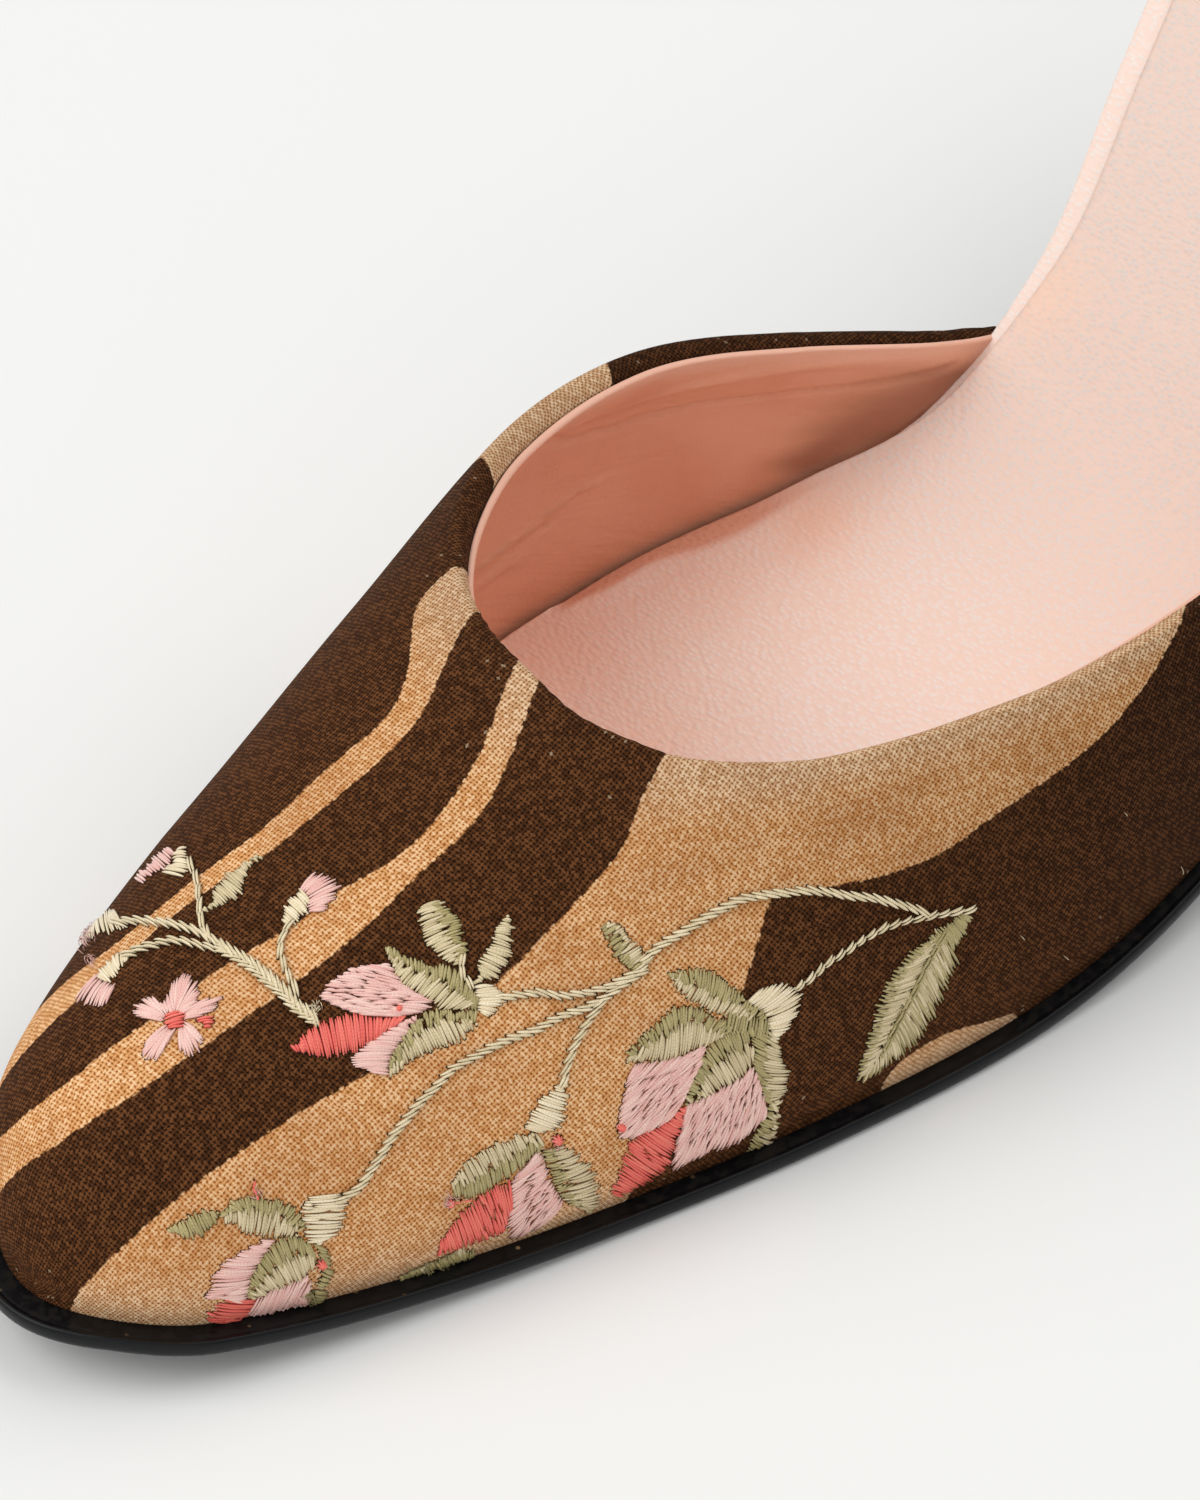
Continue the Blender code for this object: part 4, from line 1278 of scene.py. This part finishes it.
def makeNeedleMarks():  # painted shade: small dark spots on the cloth where the threads go in, for the shade inside the needle holes
    rings = []
    for point, normal in needleMarks:
        first = unit(np.cross(normal, thread["holeAcross"]))
        second = np.cross(normal, first)
        radius = dice.uniform(*thread["holeRadius"]) * mm
        ring = (np.outer(np.cos(ringTurn), first) + np.outer(np.sin(ringTurn), second)) * radius
        rings.append((point + normal * thread["holeLift"] * mm + ring)[None])
    material, tree, shader = startFinish("needleHoleShade", roughness=1.0, specularIORLevel=0.0)
    colour = blendColour(tree, noise(tree, 900.0), *thread["holeShadeColour"])
    setSocket(tree, shader.inputs["Base Color"], colour)
    addPiece("needleMarks", copyShape(plainDisc(), rings)[0], material, None)


makeThreads()
makeNeedleMarks()


# Leather lining inside the upper. Its creases are lines read from the photo: mm high, mm wide, pixels
lining = {
    "rows": 130,
    "columns": 380,
    "deep": 0.16,  # share of the reach at which it ends, out of sight in the toe
    "crowding": 1.6,  # rows lie closer together towards the rim
    "below": (0.35, 1.15),  # mm under the top of the cloth's fold, on the medial and the lateral side
    "belowOver": (-0.45, -0.1),  # girth
    "ease": 9.0,  # mm over which it goes from the fold's inner side back to the last
    "beadRadius": 0.40,  # mm
    "spread": 1.2,  # mm that the medial wall leans out at its foot
    "spreadAt": (112.0, 24.0),  # mm from the toe, and how far either side
    "spreadFrom": (6.0, 16.0),  # mm under the rim
    "beadSteps": 6,
    "creaseFrom": 3.0,  # mm under the rim, where the creases have their full height
    "creases": (
        (0.30, 1.6, ((531, 440), (575, 424), (612, 411), (666, 393), (742, 377), (850, 361), (950, 349))),
        (-0.52, 0.6, ((520, 460), (531, 454), (562, 443), (612, 429), (640, 417), (666, 412), (699, 404),
                      (742, 399), (798, 392), (850, 387), (913, 376), (950, 367))),
        (0.52, 0.45, ((478, 569), (503, 547), (527, 531), (551, 510), (575, 491), (599, 482))),
        (0.34, 0.42, ((482, 586), (505, 567), (520, 560))),
        (-0.28, 0.5, ((481, 577), (505, 556), (529, 540), (553, 520))),
        (0.12, 0.40, ((679, 398), (690, 389), (699, 382))),
        (0.12, 0.40, ((719, 384), (735, 377), (752, 370))),
        (0.12, 0.40, ((744, 384), (756, 377), (768, 369))),
        (-0.12, 0.6, ((590, 478), (630, 466), (668, 452))),
    ),
    "shadeLine": ((800, 462), (850, 432), (900, 402), (950, 372), (990, 346)),  # pixels, the dim far end
    "shadeWidth": (2.5, 7.0),  # mm, from its start to its end
    "colour": (0.84, 0.41, 0.262),
    "deepColour": (0.73, 0.30, 0.17),
    # painted light: the lining is paler towards the rim, where it is lit
    "rimLightColour": (0.85, 0.475, 0.345),
    "beadOver": 4.5,  # mm down from the rim, over which the painted light fades
    "dimOver": (1.5, 5.0),  # mm under the rim
    "dimColour": (0.45, 0.19, 0.11),
}


def wallSpread(x):
    return lining["spread"] * plateau(x, *lining["spreadAt"])


def liningGrid():  # the plain face: points, normals, and mm under the rim and along it
    girth = np.linspace(-1, 1, lining["columns"] + 1)
    share = 1 - (1 - lining["deep"]) * np.linspace(0, 1, lining["rows"] + 1)[:, None] ** lining["crowding"]
    below = np.interp(girth, lining["belowOver"], lining["below"][::-1])
    x = (topline(girth) - below - lining["beadRadius"]) * share
    points = lastSurface(x, np.broadcast_to(girth, x.shape))
    normals = surfaceNormals(points[::-1])[::-1]
    depth = runAlong(points)
    run = np.broadcast_to(runAlong(points[0]), depth.shape)
    inward = (2 * rimRadius(girth) - wall + 2 * lining["beadRadius"]) * np.exp(-(depth / lining["ease"]) ** 2)
    outward = wallSpread(x) * easeOver(depth, *lining["spreadFrom"]) * (girth > 0) - inward
    points = points + normals * outward[:, :, None]
    return points, normals, np.stack([depth, run, np.zeros_like(depth)], axis=-1)


def gridSurface(points, places):  # a bmesh of a field of points, with what each of its verts has
    shape, row, column = fieldShape(points)
    shape.faces.ensure_lookup_table()
    shape.normal_update()
    return shape, places[row, column]


def creaseLining(points, normals, place):
    shape, places = gridSurface(points, place)
    tree = BVHTree.FromBMesh(shape)
    height = np.zeros(place[:, :, 0].size)
    for rise, width, line in lining["creases"]:
        flat = np.array([onSurface(tree, shape, places, px, py)[2][:2] for px, py in line])
        height += rise * np.exp(-(lineDistance(place[:, :, :2].reshape(-1, 2), flat) / width) ** 2)
    line = np.array([onSurface(tree, shape, places, px, py)[2][:2] for px, py in lining["shadeLine"]])
    shape.free()
    place[:, :, 2] = dimShare(place[:, :, :2].reshape(-1, 2), line).reshape(place.shape[:2])
    height = height.reshape(place.shape[:2]) * np.clip(place[:, :, 0] / lining["creaseFrom"], 0, 1)
    return points - normals * height[:, :, None]


def dimShare(flat, line):  # shade that widens along its line
    share = np.zeros(len(flat))
    for width, start, end in zip(np.linspace(*lining["shadeWidth"], len(line) - 1), line, line[1:]):
        share = np.maximum(share, np.exp(-(lineDistance(flat, [start, end]) / width) ** 2))
    return share


def beadLining(points, normals, place):  # the turned edge under the cloth's fold
    along, radius = unit(points[0] - points[1]), lining["beadRadius"]
    rows, places = [], []
    for turn in np.linspace(0, np.pi, lining["beadSteps"] + 1)[:-1]:
        rows.append(points[0] + along * np.sin(turn) * radius + normals[0] * (1 + np.cos(turn)) * radius)
        places.append(place[0] - np.array([1, 0, 0]) * radius * np.sin(turn))
    return np.concatenate([rows, points]), np.concatenate([places, place])


def leatherGrain(tree, scale, place):
    pebble = addNode(tree, "TexVoronoi", {"feature": "SMOOTH_F1"}, vector=place, scale=scale, smoothness=0.35)
    return pebble.outputs["Distance"]


def liningFinish():
    material, tree, shader = startFinish("pinkLining", roughness=0.5, coatWeight=0.05, coatRoughness=0.4)
    coords = addNode(tree, "TexCoord").outputs["Object"]
    place = addNode(tree, "Attribute", {"attribute_name": "liningPlace"}).outputs["Vector"]
    split = addNode(tree, "SeparateXYZ", vector=place).outputs
    depth, dim = split[0], split[2]
    tone = noise(tree, 90.0, 4.0, coords)
    colour = blendColour(tree, span(tree, tone, 0.35, 0.7, 0.0, 0.5), lining["colour"], lining["deepColour"])
    # painted light: paler towards the rim
    edge = span(tree, depth, -0.3, lining["beadOver"], 0.9, 0.0)
    colour = blendColour(tree, edge, colour, lining["rimLightColour"])
    dim = calc(tree, "MULTIPLY", dim, span(tree, depth, *lining["dimOver"]))
    colour = blendColour(tree, dim, colour, lining["dimColour"])
    setSocket(tree, shader.inputs["Base Color"], colour)
    slant = addNode(tree, "Mapping", vector=place, rotation=(0, 0, 0.5), scale=(1.0, 0.3, 1.0)).outputs[0]
    wrinkles = addNode(tree, "TexNoise", vector=slant, scale=0.55, detail=2.0, distortion=0.4).outputs[0]
    folds = bump(tree, wrinkles, 0.5, 0.22)
    grain = leatherGrain(tree, 2600.0, coords)
    setSocket(tree, shader.inputs["Normal"], bump(tree, grain, 0.06, 0.4, folds))
    return material


def makeLining():
    points, normals, place = liningGrid()
    points = creaseLining(points, normals, place)
    shape, places = gridSurface(*beadLining(points, normals, place))
    deepest = min(shape.faces, key=lambda face: face.calc_center_median().x)
    if deepest.normal.z > 0:  # it faces the foot
        bmesh.ops.reverse_faces(shape, faces=shape.faces)
    return addPiece("lining", shape, liningFinish(), None, {"liningPlace": places})


makeLining()


# Plates that follow the bottom of the last: insole board, sock and sole
def plateShape(reach, top, profile, rows, across, end=lastLength, crown=None):
    sides = {
        side: [outline(lambda x: reach(x, side) - inset, side, rows, end) for inset, drop in profile]
        for side in (-1, 1)
    }
    share = (1 - np.cos(np.linspace(0, np.pi, across + 1))[:, None]) / 2
    rings = []
    for row in range(rows + 1):
        lateral = [points[row] for points in sides[-1]]
        medial = [points[row] for points in sides[1]]
        upper = lateral[0] + (medial[0] - lateral[0]) * share
        under = medial[-1] + (lateral[-1] - medial[-1]) * share
        plan = np.vstack([upper, medial[1:-1], under, lateral[-2:0:-1], upper[:1]])
        rim = [drop for inset, drop in profile[1:-1]]
        thick, flat = profile[-1][1], across + 1
        drops = np.concatenate([np.zeros(flat), rim, np.full(flat, thick), rim[::-1], [0]])
        if crown is not None:
            raised = drops - crown(plan)
            raised[flat + len(rim):2 * flat + len(rim)] = thick
            drops = np.minimum(raised, thick)
        z = levelZ(np.clip(plan[:, 0], 0, lastLength), top - drops)
        rings.append(np.column_stack([plan, z]))
    return np.array(rings)


def makePiece(name, points, material, node, values=None):  # a closed piece in the place of a CAD node
    shape, row, column = fieldShape(points)
    for key, field in (values or {}).items():
        layers = shape.verts.layers.float_vector if field.ndim == 3 else shape.verts.layers.float
        layer = layers.new(key)
        for vert, value in zip(shape.verts, field[row, column]):
            vert[layer] = value
    bmesh.ops.remove_doubles(shape, verts=shape.verts, dist=1e-6)
    bmesh.ops.dissolve_degenerate(shape, edges=shape.edges, dist=1e-7)
    bmesh.ops.holes_fill(shape, edges=[edge for edge in shape.edges if edge.is_boundary], sides=0)
    bmesh.ops.recalc_face_normals(shape, faces=shape.faces)
    return addPiece(name, shape, material, node)


# Sock and insole. The sock's lifted edge along the far wall is a line of photo pixels
sock = {
    "profile": ((0.45, 0.0), (0.2, 0.05), (0.05, 0.2), (0.0, 0.4), (0.0, sockThick)),
    "rows": 220,
    "across": 100,
    "hollow": 0.25,  # mm, the foot's print
    "lip": ((562, 614), (581, 603), (601, 596), (625, 583), (647, 569), (666, 561), (688, 556), (705, 553),
            (727, 545), (748, 536), (774, 519), (798, 502), (835, 480)),
    "lipIn": (0.4, 6.0),  # mm, the nearest and the farthest that it lies from the edge
    "lipEnds": (4.0, 6.0, 8.0),  # mm before its start, and over which it rises and falls
    "lipHeight": 0.20,  # mm
    "lipWidth": 0.5,  # share of the way to the edge
    "roll": 0.60,  # mm, from the lip down to the edge
    "rollPower": 1.5,
    "shadeShare": (0.9, 3.0),  # at its darkest, and how soon
    "spots": ((560, 650, 11.0, 0.45), (812, 520, 5.0, 0.55), (1035, 290, 6.0, 0.42), (640, 735, 9.0, 0.3),
              (690, 585, 7.0, 0.25)),  # the pinker places: pixel, mm across, share
    "colour": (0.97, 0.845, 0.77),
    "blush": (1.0, 0.585, 0.395),
    "shade": (0.80, 0.40, 0.27),  # between the lip and the wall
    "upper": (0.72, 0.61, 0.555),  # painted shade towards the heel
    "heelShadeOver": (115.0, 155.0),  # mm from the toe, over which the painted shade comes in
    "trim": 1.1,  # mm more that the medial edge stands in from the insole's, towards the heel
    "trimOver": (126.0, 186.0),  # mm from the toe
    "trimFades": 30.0,  # mm before the heel's end
    "seam": (0.50, 0.385, 0.325),  # painted shade: the dark line along that edge, where the sock steps down to the insole
    "seamWide": 0.5,  # mm
    "edgeShadeShare": 0.6,
    "blushFrom": 106.0,  # mm from the toe: pinker towards the toe end
    "blushOver": 36.0,
    "blushShare": 0.48,
    "grain": 2050.0,  # pebbles in a metre
}
insole = {
    "profile": ((0.4, 0.0), (0.1, 0.12), (0.0, 0.4), (0.0, insoleThick)),
    "rows": 120,
    "across": 12,
    "colour": (0.88, 0.77, 0.71),
}


def sockHollow(plan):
    x = np.clip(plan[:, 0], 0, lastLength)
    sides = featherY(x, -1), featherY(x, 1)
    share = np.clip((plan[:, 1] - sides[0]) / np.maximum(sides[1] - sides[0], 1e-6), 0, 1)
    return -sock["hollow"] * np.sin(np.pi * share) ** 2


def trimShare(x):
    return easeOver(x, *sock["trimOver"]) * np.clip((lastLength - x) / sock["trimFades"], 0, 1)


def medialEdge(x):  # mm that the sock's medial edge stands outside the last
    return wallSpread(x) - sockInset(x) - sock["trim"] * trimShare(x)


def sockPoints(crown):
    top = insoleThick + gap + sockThick
    return plateShape(lambda x, side: medialEdge(x) if side > 0 else -sockInset(x), top, sock["profile"],
                      sock["rows"], sock["across"], crown=crown)


def fromEdge(x, y):  # mm in from the sock's medial edge
    return featherY(np.clip(x, 0, lastLength), 1) + medialEdge(x) - y


def chartSock(points):  # how far in the lip lies at each x, and where the pinker spots are
    shape, places = gridSurface(points, points)
    tree = BVHTree.FromBMesh(shape)
    lip = np.array([onSurface(tree, shape, places, px, py)[2] for px, py in sock["lip"]])
    lip = lip[np.argsort(lip[:, 0])]
    inside = np.clip(fromEdge(lip[:, 0], lip[:, 1]), *sock["lipIn"])
    print("sock's lip", np.column_stack([lip[:, 0], inside]).round(1).tolist())
    spots = [onSurface(tree, shape, places, px, py)[2] for px, py, width, share in sock["spots"]]
    shape.free()
    return lip[:, 0], inside, spots


def sockFinish(name, colour, upper):
    material, tree, shader = startFinish(name, roughness=0.5, coatWeight=0.05, coatRoughness=0.35)
    coords = addNode(tree, "TexCoord").outputs["Object"]
    tone = noise(tree, 60.0, 5.0, coords)
    base = blendColour(tree, span(tree, tone, 0.4, 0.75, 0.0, 0.14), colour, sock["blush"])
    x = addNode(tree, "SeparateXYZ", vector=coords).outputs[0]
    start = (sock["blushFrom"] + shift[0]) * mm
    toeEnd = span(tree, x, start - sock["blushOver"] * mm, start, sock["blushShare"], 0.0)
    base = blendColour(tree, toeEnd, base, sock["blush"])
    # painted shade: darker towards the heel
    ends = [(place + shift[0]) * mm for place in sock["heelShadeOver"]]
    base = blendColour(tree, span(tree, x, *ends), base, upper)
    for key, deeper in (("pinker", sock["blush"]), ("shaded", sock["shade"]), ("seam", sock["seam"])):
        share = addNode(tree, "Attribute", {"attribute_name": key}).outputs["Fac"]
        base = blendColour(tree, share, base, deeper)
    turned = addNode(tree, "Mapping", vector=coords, rotation=(0, 0, -0.35), scale=(1.0, 0.6, 1.0)).outputs[0]
    grain = leatherGrain(tree, sock["grain"], turned)
    pores = span(tree, grain, 0.15, 0.6, 0.0, 0.32)
    setSocket(tree, shader.inputs["Base Color"], blendColour(tree, pores, base, sock["blush"]))
    sheen = noise(tree, 1900.0, 2.0, coords)
    setSocket(tree, shader.inputs["Roughness"], span(tree, sheen, 0.3, 0.7, 0.42, 0.58))
    soft = bump(tree, noise(tree, 140.0, 3.0, coords), 0.5, 0.25)
    setSocket(tree, shader.inputs["Normal"], bump(tree, calc(tree, "SUBTRACT", 1.0, grain), 0.30, 0.42, soft))
    return material


def makeInside():
    lipX, lipIn, spots = chartSock(sockPoints(sockHollow))

    def edgeShare(x, y):  # 0 at the lip, 1 at the far edge
        nearest = sock["lipIn"][0]
        return np.clip(1 - fromEdge(x, y) / np.interp(x, lipX, lipIn, left=nearest, right=nearest), -1, 1)

    def lipEnds(x):
        before, rises, falls = sock["lipEnds"]
        return np.clip((x - lipX[0] + before) / rises, 0, 1) * np.clip((lipX[-1] - x) / falls, 0, 1)

    def crown(plan):
        x, y = plan[:, 0], plan[:, 1]
        share = edgeShare(x, y)
        lip = sock["lipHeight"] * np.exp(-(share / sock["lipWidth"]) ** 2)
        roll = sock["roll"] * np.clip(share, 0, 1) ** sock["rollPower"]
        return sockHollow(plan) + (lip - roll) * lipEnds(x)

    points = sockPoints(crown)
    x, y = points[:, :, 0], points[:, :, 1]
    darkest, soon = sock["shadeShare"]
    shaded = darkest * np.clip(edgeShare(x, y) * soon, 0, 1) * lipEnds(x)
    # painted shade along the medial edge
    seam = sock["edgeShadeShare"] * np.exp(-(fromEdge(x, y) / sock["seamWide"]) ** 2) * trimShare(x)
    pinker = np.zeros_like(x)
    for spot, (px, py, width, strength) in zip(spots, sock["spots"]):
        away = np.linalg.norm(points - spot, axis=2) / width
        pinker = np.maximum(pinker, strength * np.exp(-away ** 2))
    finish = sockFinish("palePinkLeather", sock["colour"], sock["upper"])
    makePiece("sockPad", points, finish, "sock", {"shaded": shaded, "pinker": pinker, "seam": seam})
    points = plateShape(lambda x, side: np.full_like(x, -insoleClear), insoleThick, insole["profile"],
                        insole["rows"], insole["across"])
    finish = sockFinish("pinkLeather", insole["colour"], insole["colour"])
    makePiece("insoleBoard", points, finish, "insole")


makeInside()

sole = {
    "profile": ((1.05, 0.0), (0.86, 0.06), (0.72, 0.02), (0.55, -0.09), (0.36, -0.13), (0.18, -0.05),
                (0.05, 0.15), (0.0, 0.45), (0.0, 0.95), (0.06, 1.3), (0.22, 1.58), (0.5, 1.78),
                (0.9, soleThick)),
    "rows": 150,
    "across": 10,
    "end": 191.7,  # mm, against the heel's breast
    "black": (0.0045, 0.005, 0.006),
    "dust": (0.013, 0.0095, 0.0065),
    "glue": (0.30, 0.19, 0.085),
}


def soleFinish():
    shine = {"specularIORLevel": 0.16, "coatWeight": 0.08, "coatRoughness": 0.2}
    material, tree, shader = startFinish("blackSole", **shine)
    coords = addNode(tree, "TexCoord").outputs["Object"]
    facing = addNode(tree, "SeparateXYZ", vector=addNode(tree, "NewGeometry").outputs["Normal"]).outputs[2]
    flat = span(tree, facing, 0.9, 0.985)
    specks = noise(tree, 900.0, 4.0, coords)
    dusty = calc(tree, "MULTIPLY", flat, span(tree, specks, 0.42, 0.72, 0.1, 0.9))
    scuffs = noise(tree, 220.0, 6.0, coords)
    dusty = calc(tree, "MAXIMUM", dusty, span(tree, scuffs, 0.62, 0.8, 0.0, 0.35))
    colour = blendColour(tree, dusty, sole["black"], sole["dust"])
    drops = addNode(tree, "TexVoronoi", vector=coords, scale=650.0).outputs
    chosen = addNode(tree, "SeparateColor", color=drops["Color"]).outputs[0]
    dot = span(tree, drops["Distance"], 0.1, 0.2, 1.0, 0.0)
    dot = calc(tree, "MULTIPLY", dot, span(tree, chosen, 0.8, 0.88))
    patchy = span(tree, noise(tree, 60.0, 2.0, coords), 0.45, 0.6)
    glue = calc(tree, "MULTIPLY", calc(tree, "MULTIPLY", dot, flat), patchy)
    setSocket(tree, shader.inputs["Base Color"], blendColour(tree, glue, colour, sole["glue"]))
    setSocket(tree, shader.inputs["Roughness"], span(tree, dusty, 0.0, 0.7, 0.3, 0.85))
    ripple = bump(tree, noise(tree, 160.0, 3.0, coords), 0.3, 0.3)
    setSocket(tree, shader.inputs["Normal"], bump(tree, specks, 0.1, 0.4, ripple))
    return material


def makeSole():
    tuck = smoothCurve(*zip(*soleTuck))
    points = plateShape(lambda x, side: soleReach(x, side) - tuck(x) * (side > 0), -gap, sole["profile"],
                        sole["rows"], sole["across"], sole["end"])
    makePiece("soleLeather", points, soleFinish(), "outsole")


makeSole()

# Heel, covered in plain brown cloth, and its top piece
heel = {
    "breast": 192.0,  # mm from the toe
    "inset": 0.7,
    "flare": 2.3,
    "tipX": 225.0,
    "tipHalfLength": 7.0,
    "tipHalfWidth": 7.4,
    "tipPower": 2.6,
    "breastAngle": 140.0,
    "topPiece": 5.0,
    "topRings": ((-0.4, 0.0), (-0.1, 0.15), (0.2, 0.6), (0.2, 2.5), (0.2, 4.8), (0.0, 5.0)),  # mm out, mm up
    "rings": 60,
    "crowding": 1.3,  # rings lie closer together towards the seat
    "back": 60,
    "front": 20,
    "toEdge": 9.0,  # mm, so that the cover isn't worn
}


def tipRing(grow=0.0):
    corner = heel["breastAngle"]
    back = np.linspace(-corner, corner, heel["back"] + 1)
    front = np.linspace(corner, 360 - corner, heel["front"] + 1)[1:]
    turn = np.radians(np.concatenate([back, front]))
    power = 2 / heel["tipPower"]
    x = np.sign(np.cos(turn)) * np.abs(np.cos(turn)) ** power * (heel["tipHalfLength"] + grow)
    y = np.sign(np.sin(turn)) * np.abs(np.sin(turn)) ** power * (heel["tipHalfWidth"] + grow)
    return np.column_stack([heel["tipX"] + x, last["swing"](heel["tipX"]) + y])


def seatRing():
    sides = [outline(lambda x: np.full_like(x, -heel["inset"]), side, 200) for side in (-1, 1)]
    kept = [side[side[:, 0] >= heel["breast"]] for side in sides]
    corners = [(heel["breast"], np.interp(heel["breast"], *side.T)) for side in sides]
    path = np.vstack([corners[:1], kept[0], kept[1][::-1][1:], corners[1:]])
    back = resample(path, heel["back"] + 1)
    share = np.linspace(0, 1, heel["front"] + 1)[1:, None]
    return np.vstack([back, back[-1] + (back[0] - back[-1]) * share])


def ringPlace(rings):  # pattern plane of a tube: down it and round it, in mm
    down = runAlong(rings)
    return np.stack([down, runAlong(rings, 1), np.full_like(down, heel["toEdge"])], axis=-1)


def makeHeel():
    seat, tip = seatRing(), tipRing()
    floorZ = heel["topPiece"] + gap
    seatZ = levelZ(seat[:, 0], -gap)
    rings = []
    for down in np.linspace(0, 1, heel["rings"] + 1) ** heel["crowding"]:
        plan = tip + (seat - tip) * (1 - down) ** heel["flare"]
        rings.append(np.column_stack([plan, seatZ + (floorZ - seatZ) * down]))
    rings = np.array(rings)
    finish = clothFinish("brownCloth", printed=False)
    makePiece("heelCover", rings, finish, "heel", {"clothPlace": ringPlace(rings)})


def topPieceFinish():
    material, tree, shader = startFinish("blackTopPiece", roughness=0.55)
    coords = addNode(tree, "TexCoord").outputs["Object"]
    specks = noise(tree, 700.0, 4.0, coords)
    colour = blendColour(tree, span(tree, specks, 0.5, 0.8), sole["black"], sole["dust"])
    setSocket(tree, shader.inputs["Base Color"], colour)
    setSocket(tree, shader.inputs["Normal"], bump(tree, specks, 0.08, 0.4))
    return material


def makeTopPiece():
    rings = []
    for grow, z in heel["topRings"]:
        plan = tipRing(grow)
        rings.append(np.column_stack([plan, np.full(len(plan), z)]))
    makePiece("topPiece", np.array(rings), topPieceFinish(), "top_piece")


makeHeel()
makeTopPiece()

# Floor and light
studio = {
    "floorSize": 6.0,  # m
    "floorColour": (0.865, 0.865, 0.853),
    "world": 0.47,
    "lamps": (  # name, place in m, size in m, power in W
        ("key", (-1.5, 0.9, 1.7), 2.2, 34.0),  # off the toe on the medial side
        ("heelFill", (1.2, -0.3, 1.7), 2.2, 17.0),  # into the open back
        ("toeFill", (-1.5, -1.3, 0.8), 2.2, 7.0),
    ),
}


def makeStudio():
    scene = bpy.context.scene
    scene.view_settings.view_transform = "Standard"
    shape = bmesh.new()
    bmesh.ops.create_grid(shape, x_segments=1, y_segments=1, size=studio["floorSize"] / 2)
    mesh = bpy.data.meshes.new("floor")
    shape.to_mesh(mesh)
    shape.free()
    material, tree, shader = startFinish("paleFloor", baseColor=studio["floorColour"], roughness=0.9)
    mesh.materials.append(material)
    floor = bpy.data.objects.new("floor", mesh)
    scene.collection.objects.link(floor)
    scene.world = bpy.data.worlds.new("studio")
    scene.world.use_nodes = True
    background = scene.world.node_tree.nodes["Background"]
    background.inputs["Color"].default_value = (1, 1, 1, 1)
    background.inputs["Strength"].default_value = studio["world"]
    for name, place, size, power in studio["lamps"]:
        light = bpy.data.lights.new(name, "AREA")
        light.size = size
        light.energy = power
        lamp = bpy.data.objects.new(name, light)
        lamp.location = place
        lamp.rotation_euler = Vector(place).to_track_quat("Z", "Y").to_euler()
        scene.collection.objects.link(lamp)
    print("studio ready")


makeStudio()
